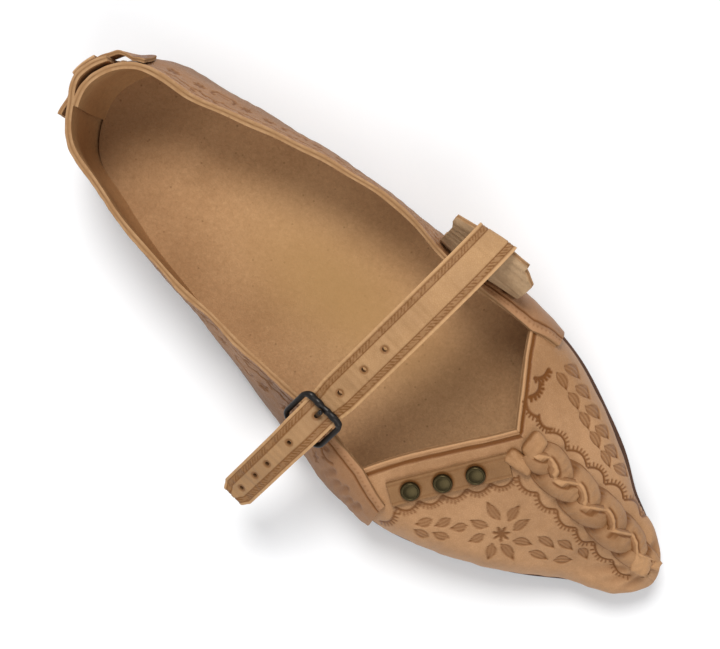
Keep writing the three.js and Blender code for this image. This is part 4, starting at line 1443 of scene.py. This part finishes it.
# %% Knots of the strap
buckle_station = 8.3
lateral_collar = shoulder(np.array(buckle_station / stations))
hidden_bar = (across_of(lateral_collar) - buckle_reach, lateral_collar[2] + buckle_rise)
front_bar = (
    hidden_bar[0] + buckle_depth * math.cos(buckle_tilt),
    hidden_bar[1] + buckle_depth * math.sin(buckle_tilt),
)
medial_collar = shoulder(np.array((stations - collar_station) / stations))
fold = (across_of(medial_collar) + fold_reach, medial_collar[2] + fold_rise)
under_front = front_bar[1] - (bar_radius + gap + strap_half) - 0.1
over_hidden = hidden_bar[1] + (bar_radius + gap + tab_thickness) + gap + strap_half + 0.1
span = fold[0] - front_bar[0]
# shares of the way from the fold to the buckle, and of the rise
arch = ((0.143, 0.97), (0.347, 1.0), (0.576, 0.9), (0.805, 0.72))


def strap_knots(aside):
    slant = fold_slant * aside
    over_instep = [(fold[0] - span * reach, medial_collar[2] + arch_rise * rise) for reach, rise in arch]
    return [
        *(off_quarter(True, aside, v, gap + strap_half + 0.1) for v in (0.5, 0.62, 0.74, 0.84)),
        on_line(fold[0] - fold_reach * 0.42 + slant * 0.5, aside, fold[1] - fold_rise * 0.62),
        on_line(fold[0] + slant, aside, fold[1] - fold_radius),
        on_line(fold[0] + fold_radius + slant, aside, fold[1]),
        on_line(fold[0] + slant, aside, fold[1] + fold_radius),
        *(on_line(across, aside, up) for across, up in over_instep),
        on_line(front_bar[0], aside, under_front),
        on_line((front_bar[0] + hidden_bar[0]) / 2, aside, (under_front + over_hidden) / 2),
        on_line(hidden_bar[0], aside, over_hidden),
        on_line(hidden_bar[0] - tail_reach * 0.49, aside, over_hidden - tail_drop * 0.4),
        on_line(hidden_bar[0] - tail_reach, aside, over_hidden - tail_drop),
    ]


def path_table(knots, asides, steps):
    """The paths for several distances aside, each with the same number of steps."""
    places = np.stack(knots(asides), axis=1)
    return np.stack([curve(row)(np.linspace(0, 1, steps + 1)) for row in places])


print("buckle bars at", [round(float(c), 1) for c in (*hidden_bar, *front_bar)])

# %% [markdown]
# A smooth curve through those knots is worked out for many distances aside of the strap's middle, and the
# strip is laid between these curves. A short table says how wide it is from root to tail.

# %% Width and run of the strap
strap_reach = np.linspace(-22, 26, 65)
strap_steps = 900
strap_shares = np.linspace(0, 1, strap_steps + 1)
strap_table = path_table(strap_knots, strap_reach, strap_steps)
strap_middle = curve(np.stack(strap_knots(np.array(0.0))))(strap_shares)
strap_run = np.concatenate([[0], np.cumsum(np.linalg.norm(np.diff(strap_middle, axis=0), axis=1))])
strap_length = strap_run[-1]
last_knot = 16
# knot along the path, width there, shift aside
strap_rows = [
    (0, root_width, root_shift), (4.6, root_width, root_shift), (5, wing_width, 0), (5.4, wing_width, 0),
    (5.5, strap_width, 0), (11.5, strap_width, 0), (12, neck_width, 0), (14, neck_width, 0),
    (14.5, tip_width, 0), (15.82, tip_width, 0), (16, tip_width - tail_bevel, 0),
]
row_knots, row_widths, row_shifts = np.array(strap_rows, float).T
wings_end_knot = 5.45
prong_run = np.interp(prong_knot / last_knot, strap_shares, strap_run)
step_run = np.interp(wings_end_knot / last_knot, strap_shares, strap_run)


def strap_place(i, j):
    run = j * strap_length
    at = np.interp(run, strap_run, strap_shares)
    width = np.interp(at * last_knot, row_knots, row_widths)
    shift = np.interp(at * last_knot, row_knots, row_shifts)
    return run, at, width, (0.5 - i) * width, shift


def strap_lay(i, j):
    run, at, width, aside, shift = strap_place(i, j)
    column = np.interp(aside + shift, strap_reach, np.arange(len(strap_reach)))
    return sample(strap_table, column, at * strap_steps)


print("strap", round(float(strap_length)), "mm long, prong at", round(float(prong_run), 1))

# %% [markdown]
# Two dark lines with slanting strokes between them run along each edge of the strap. The leather creases
# across where it bends, and grows darker towards the tail, where fingers pull it. Round holes are punched
# about every 10 mm, and painted dark in and round them as the shade inside.

# %% Strap
def strap_work(i, j, p):
    run, at, width, aside, shift = strap_place(i, j)
    b = board(run, aside)
    edge = width / 2 - np.abs(aside)
    on_strap = smooth((run - step_run) / 2)
    for place, half in ((1.2, 0.2), (3.2, 0.22)):
        press(b, slice(None), bump(edge, place, half, 0.2) * on_strap, 0.3, 1.0)
    slant = run + np.abs(aside) * 1.2
    hatch = smooth((np.cos(2 * np.pi * slant / 1.5) + 0.1) / 0.8)
    hatch = hatch * smooth((0.85 + waver(run, aside, 3)) / 0.8)
    press(b, slice(None), bump(edge, 2.2, 0.8, 0.2) * (0.5 + 0.5 * hatch) * on_strap, 0.24, 0.95)
    # Each hole gets a pressed ring, darkened partly as painted shade round the hole.
    for n in hole_places:
        ring = np.hypot(run - prong_run - n * hole_pitch, aside)
        press(b, slice(None), smooth((hole_diameter / 2 + 0.7 - ring) / 0.8), 0.25, 0.75)
    creases = 0.11 * waver(run, aside * 0.12, 2.2) + 0.14 * waver(run, aside * 0.2, 7)
    ragged = 0.5 * smooth((0.6 - edge) / 0.6)
    level = strap_half + creases + 0.12 * waver(run, aside, 22)
    rubbed = np.maximum(ragged, 0.35 * bump(edge, 0.55, 0.4)) * on_strap
    handled = 0.1 + 0.5 * smooth((run - step_run - 30) / 70) + 0.1 * waver(run, aside, 12)
    # The cut edge and flesh side round each hole are painted dark as the shade inside it.
    to_hole = np.min([np.hypot(run - prong_run - n * hole_pitch, aside) for n in hole_places], axis=0)
    return {"level": level, "depth": b["depth"], "tooled": b["tooled"], "rubbed": rubbed, "aged": handled,
            "stained": smooth((hole_diameter / 2 + 0.3 - to_hole) / 0.4)}


# the slab's edge is rounded, so a hole is cut narrower than it is drawn
hole_share = 0.64
hole_reach = hole_diameter / 2 * hole_share
strap_holes = [
    ((0.5, (prong_run + n * hole_pitch) / strap_length),
     (hole_reach / (neck_width if n < 1 else tip_width), hole_reach / strap_length))
    for n in hole_places
]
sheet("strap_strip", (44, 540), strap_lay, strap_work, strap_thickness, (pale, flesh_pale, cut_edge),
      "strap", rounding=0.3, holes=strap_holes)

# %% [markdown]
# The buckle is a black bent rod, thicker in front where it is flattened for the prong. A flat grid is
# rolled round a path into each bar, and its meeting edges are welded.

# %% A bar rolled round a path
bar_weld = 0.000004


def tube(name, path, radius, flatness, sides, finish_for, stands_for):
    """A round bar along a path in one plane. Three places of the path give that plane."""
    count = len(path)
    if np.linalg.norm(path[0] - path[-1]) < 1e-6:
        ahead = np.roll(path[:-1], -1, axis=0) - np.roll(path[:-1], 1, axis=0)
        ahead = unit(np.vstack([ahead, ahead[:1]]))
    else:
        ahead = unit(np.gradient(path, axis=0))
    plane = unit(np.cross(path[count // 3] - path[0], path[2 * count // 3] - path[0]))
    outward = unit(np.cross(ahead, plane))
    bm = bmesh.new()
    bmesh.ops.create_grid(bm, x_segments=count - 1, y_segments=sides, size=0.5)
    for v in bm.verts:
        k = round((v.co.x + 0.5) * (count - 1))
        angle = 2 * math.pi * round((v.co.y + 0.5) * sides) / sides
        spread = outward[k] * math.cos(angle) + plane * math.sin(angle) * flatness
        v.co = (path[k] + spread * radius[k]) * to_metres
    bmesh.ops.remove_doubles(bm, verts=bm.verts, dist=bar_weld)
    bmesh.ops.recalc_face_normals(bm, faces=bm.faces)
    mesh = mesh_of(bm, name)
    mesh.shade_smooth()
    return link(name, mesh, [finish_for], stands_for)


print("bars are welded within", bar_weld, "m")

# %% Buckle's frame
def frame_outline(t):
    """The frame's middle line in its own plane: aside and forward from the hidden bar."""
    w, d, r = buckle_width / 2, buckle_depth, buckle_corner
    corners = [((w - r, r), -90), ((w - r, d - r), 0), ((-w + r, d - r), 90), ((-w + r, r), 180)]
    places = []
    for (x, y), start in corners:
        for a in np.radians(np.linspace(start, start + 90, 9)):
            places.append((x + r * math.cos(a), y + r * math.sin(a)))
    places.append(places[0])
    places = np.array(places)
    run = np.concatenate([[0], np.cumsum(np.linalg.norm(np.diff(places, axis=0), axis=1))])
    return np.stack([np.interp(t * run[-1], run, places[:, k]) for k in (0, 1)], axis=-1)


ring = frame_outline(np.linspace(0, 1, 161))
forward = ring[:, 1]
frame_across = hidden_bar[0] + forward * math.cos(buckle_tilt)
frame_path = on_line(frame_across, ring[:, 0], hidden_bar[1] + forward * math.sin(buckle_tilt))
front_share = smooth((forward - buckle_depth + 1.6) / 1.4)
notch = 0.22 * bump(ring[:, 0], 0, 1.0, 0.5) * front_share
facets = 0.05 * np.round(2 * np.sin(ring[:, 0] * 1.9)) * front_share
frame_radius = 0.98 + 0.34 * front_share - notch + facets
tube("buckle", frame_path, frame_radius, 0.86, 20, black, "buckle_frame")

# %% Prong
prong_radius = prong_diameter / 2
hook = bar_radius + gap + prong_radius
prong_places = [
    on_line(hidden_bar[0] - hook, 0, hidden_bar[1] + 0.4),
    on_line(hidden_bar[0] - hook * 0.72, 0, hidden_bar[1] - hook * 0.72),
    on_line(hidden_bar[0], 0, hidden_bar[1] - hook),
    on_line(hidden_bar[0] + hook * 0.8, 0, hidden_bar[1] - hook * 0.6),
    on_line(mix(hidden_bar[0], front_bar[0], 0.4), 0, hidden_bar[1] + 0.6),
    on_line(mix(hidden_bar[0], front_bar[0], 0.62), 0, mix(hidden_bar[1], front_bar[1], 0.42)),
    on_line(front_bar[0] - hook * 0.95, 0, front_bar[1] + hook * 0.2),
    on_line(front_bar[0] - hook * 0.45, 0, front_bar[1] + hook * 0.95),
]
prong_count, prong_round = 61, 4
prong_path = curve(np.array(prong_places))(np.linspace(0, 1, prong_count))
from_end = np.minimum(np.arange(prong_count), np.arange(prong_count)[::-1])
prong_ends = np.sqrt(1 - (1 - np.minimum(from_end / prong_round, 1)) ** 2)
tube("prong", prong_path, prong_radius * prong_ends, 1.0, 14, black, "buckle_prong")

# %% [markdown]
# A short tab is glued to the lateral quarter, goes round the hidden bar and comes down again inside. It is
# laid the same way as the strap, between curves through its knots.

# %% Tab
tab_middle = bar_radius + gap + tab_thickness / 2
tab_leaf = gap / 2 + tab_thickness / 2
round_bar = [math.pi * t for t in (0.1, 0.3, 0.5, 0.7, 0.9)]
tab_loop = [
    (-tab_leaf, -tab_middle * 2.4),
    (-tab_middle * 0.86, -tab_middle * 0.9),
    *((-math.cos(a) * tab_middle, math.sin(a) * tab_middle) for a in round_bar),
    (tab_middle * 0.86, -tab_middle * 0.9),
    (tab_leaf, -tab_middle * 2.4),
    (tab_leaf, -tab_middle * 3.4),
]


def tab_knots(aside):
    return [
        *(off_quarter(False, aside, v, gap + tab_thickness / 2) for v in (0.3, 0.46, 0.62)),
        *(on_line(hidden_bar[0] + across, aside, hidden_bar[1] + up) for across, up in tab_loop),
    ]


tab_steps = 300
tab_reach = np.linspace(-6, 6, 13)
tab_table = path_table(tab_knots, tab_reach, tab_steps)


def tab_lay(i, j):
    column = np.interp((0.5 - i) * tab_width, tab_reach, np.arange(len(tab_reach)))
    return sample(tab_table, column, j * tab_steps)


def tab_work(i, j, p):
    edge = tab_width / 2 - np.abs(i - 0.5) * tab_width
    dark = 0.5 * bump(edge, 1.2, 0.16)
    level = tab_thickness / 2 + 0.05 * waver(i * 10, j * 30, 3)
    return {"level": level, "depth": 0.15 * dark, "tooled": dark}


sheet("tab", (24, 110), tab_lay, tab_work, tab_thickness, (tan, flesh, cut_edge), "buckle_tab",
      rounding=0.2)

# %% [markdown]
# A thong goes round the heel outside the quarters. Its free end stands off the leather, its other end lies
# flat and is painted dark as the shadow it lies in, and a narrow pale keeper holds it down.

# %% Thong
thong = {
    "start": 13.4, "end": 15.1, "low": 0.66, "high": 0.86, "flare": 0.07, "thickness": 1.5, "jut": 1.6,
}
keeper = {"start": 13.98, "end": 14.35, "low": 0.58, "high": 0.94, "thickness": 1.3}
settle_start = 0.1
settle_length = 0.3


def heel_level(u, v):
    settled = smooth((u - wing_end - settle_start) / settle_length)
    return mix(lateral_level(np.minimum(u, wing_end), v), leather, settled) + gap


def thong_place(i, j):
    k = 1 - i
    flare = thong["flare"] * smooth(1 - 5 * np.minimum(k, 1 - k))
    u = mix(thong["start"], thong["end"], k)
    return u, mix(thong["low"] - flare, thong["high"] + flare, j), k


def thong_lay(i, j):
    u, v, _ = thong_place(i, j)
    return last_point(u, v)


def thong_work(i, j, p):
    u, v, k = thong_place(i, j)
    level = heel_level(u, mix(thong["low"], thong["high"], j)) + thong["jut"] * smooth(1 - 6 * k)
    free = smooth((keeper["start"] + 0.1 - u) / 0.12)
    # The far end is painted dark as shadow.
    end_shadow = smooth((u - 14.86) / 0.05)
    level = level + thong["thickness"] + 0.08 * waver(i * 40, j * 10, 5)
    return {"level": level, "tooled": np.maximum(0.3 * free, 0.85 * end_shadow), "aged": 0.5 * free}


sheet("thong", (120, 26), thong_lay, thong_work, thong["thickness"], (quarter_tan_shaded, flesh, cut_edge),
      "heel_thong", rounding=0.25)

# %% Keeper
def keeper_place(i, j):
    return mix(keeper["start"], keeper["end"], 1 - i), mix(keeper["low"], keeper["high"], j)


def keeper_lay(i, j):
    return last_point(*keeper_place(i, j))


def keeper_work(i, j, p):
    over = (thong["thickness"] - bond) * smooth(1 - (np.abs(j - 0.5) - 0.3) / 0.12)
    level = heel_level(*keeper_place(i, j)) + over + keeper["thickness"]
    return {"level": level, "tooled": 0.3 * bump(i, 0.5, 0.02, 0.05), "rubbed": 0.2}


sheet("keeper", (40, 90), keeper_lay, keeper_work, keeper["thickness"], (pale, flesh, cut_edge),
      "heel_thong", rounding=0.25)

# %% [markdown]
# The insole is suede, pale under the arch and darkened at the heel by wear and dirt and by painted shade from
# the heel wall. The outsole is a thin slab of dark-stained leather that shows as a fine line under the upper.

# %% Outline of the foot
def foot_outline(u, outset):
    ahead = feather(u / stations + 1e-4) - feather(u / stations - 1e-4)
    out = unit(np.stack([-ahead[..., 1], ahead[..., 0], 0 * ahead[..., 0]], axis=-1))
    return feather(u / stations) + out * outset


def foot_lay(toe_outset, height, heel_outset=None):
    def lay(i, j):
        u = (1 - i) * heel_station
        behind = smooth((u - throat) / 1.2)[:, None]
        outset = mix(toe_outset, toe_outset if heel_outset is None else heel_outset, behind)
        p = mix(foot_outline(u, outset), foot_outline(stations - u, outset), j[:, None])
        p[:, 2] = height + spring(p[:, 0])
        return p

    return lay


print("foot outline at the toe:", foot_outline(np.array([0.0]), 0.0)[0].round(1))

# %% Insole
insole_top = sole_thickness + gap + insole_thickness
insole_past_wall = 1.7


def insole_work(i, j, p):
    x, y = p[:, 0], p[:, 1]
    # The heel is darkened by dirt and painted shade, and a patch near the back is painted shadow from the
    # heel wall.
    heel_dirt_and_shade = smooth((-72 - x + 4 * waver(x, y, 25)) / 45)
    heel_wall_shadow = np.exp(-((x + 112) ** 2 / 160 + (y - 4) ** 2 / 160))
    olive = np.exp(-((x + 20) ** 2 / 1500 + (y - 2) ** 2 / 420)) * 0.8
    dent = 0.25 * waver(x, y, 24) + 0.9 * np.exp(-(((x + 95) / 22) ** 2 + ((y - 4) / 18) ** 2))
    stained = np.clip(0.3 * heel_dirt_and_shade + 0.2 * heel_wall_shadow, 0, 1)
    return {"level": 0 * x, "depth": dent * 0.6, "stained": stained, "aged": olive}


sheet("insole_suede", (150, 44), foot_lay(-leather - gap, insole_top, insole_past_wall), insole_work,
      insole_thickness, (insole_finish,) * 3, "insole", upright=True, weld=True, rounding=0.3)

# %% Outsole
sole_trim = 0.2


def outsole_work(i, j, p):
    return {"level": 0 * i, "depth": 0.08 * waver(p[:, 0], p[:, 1], 8)}


sheet("outsole_slab", (140, 28), foot_lay(sole_welt - sole_trim, sole_thickness), outsole_work,
      sole_thickness, (sole_finish,) * 3, "outsole", upright=True, weld=True, rounding=0.6)
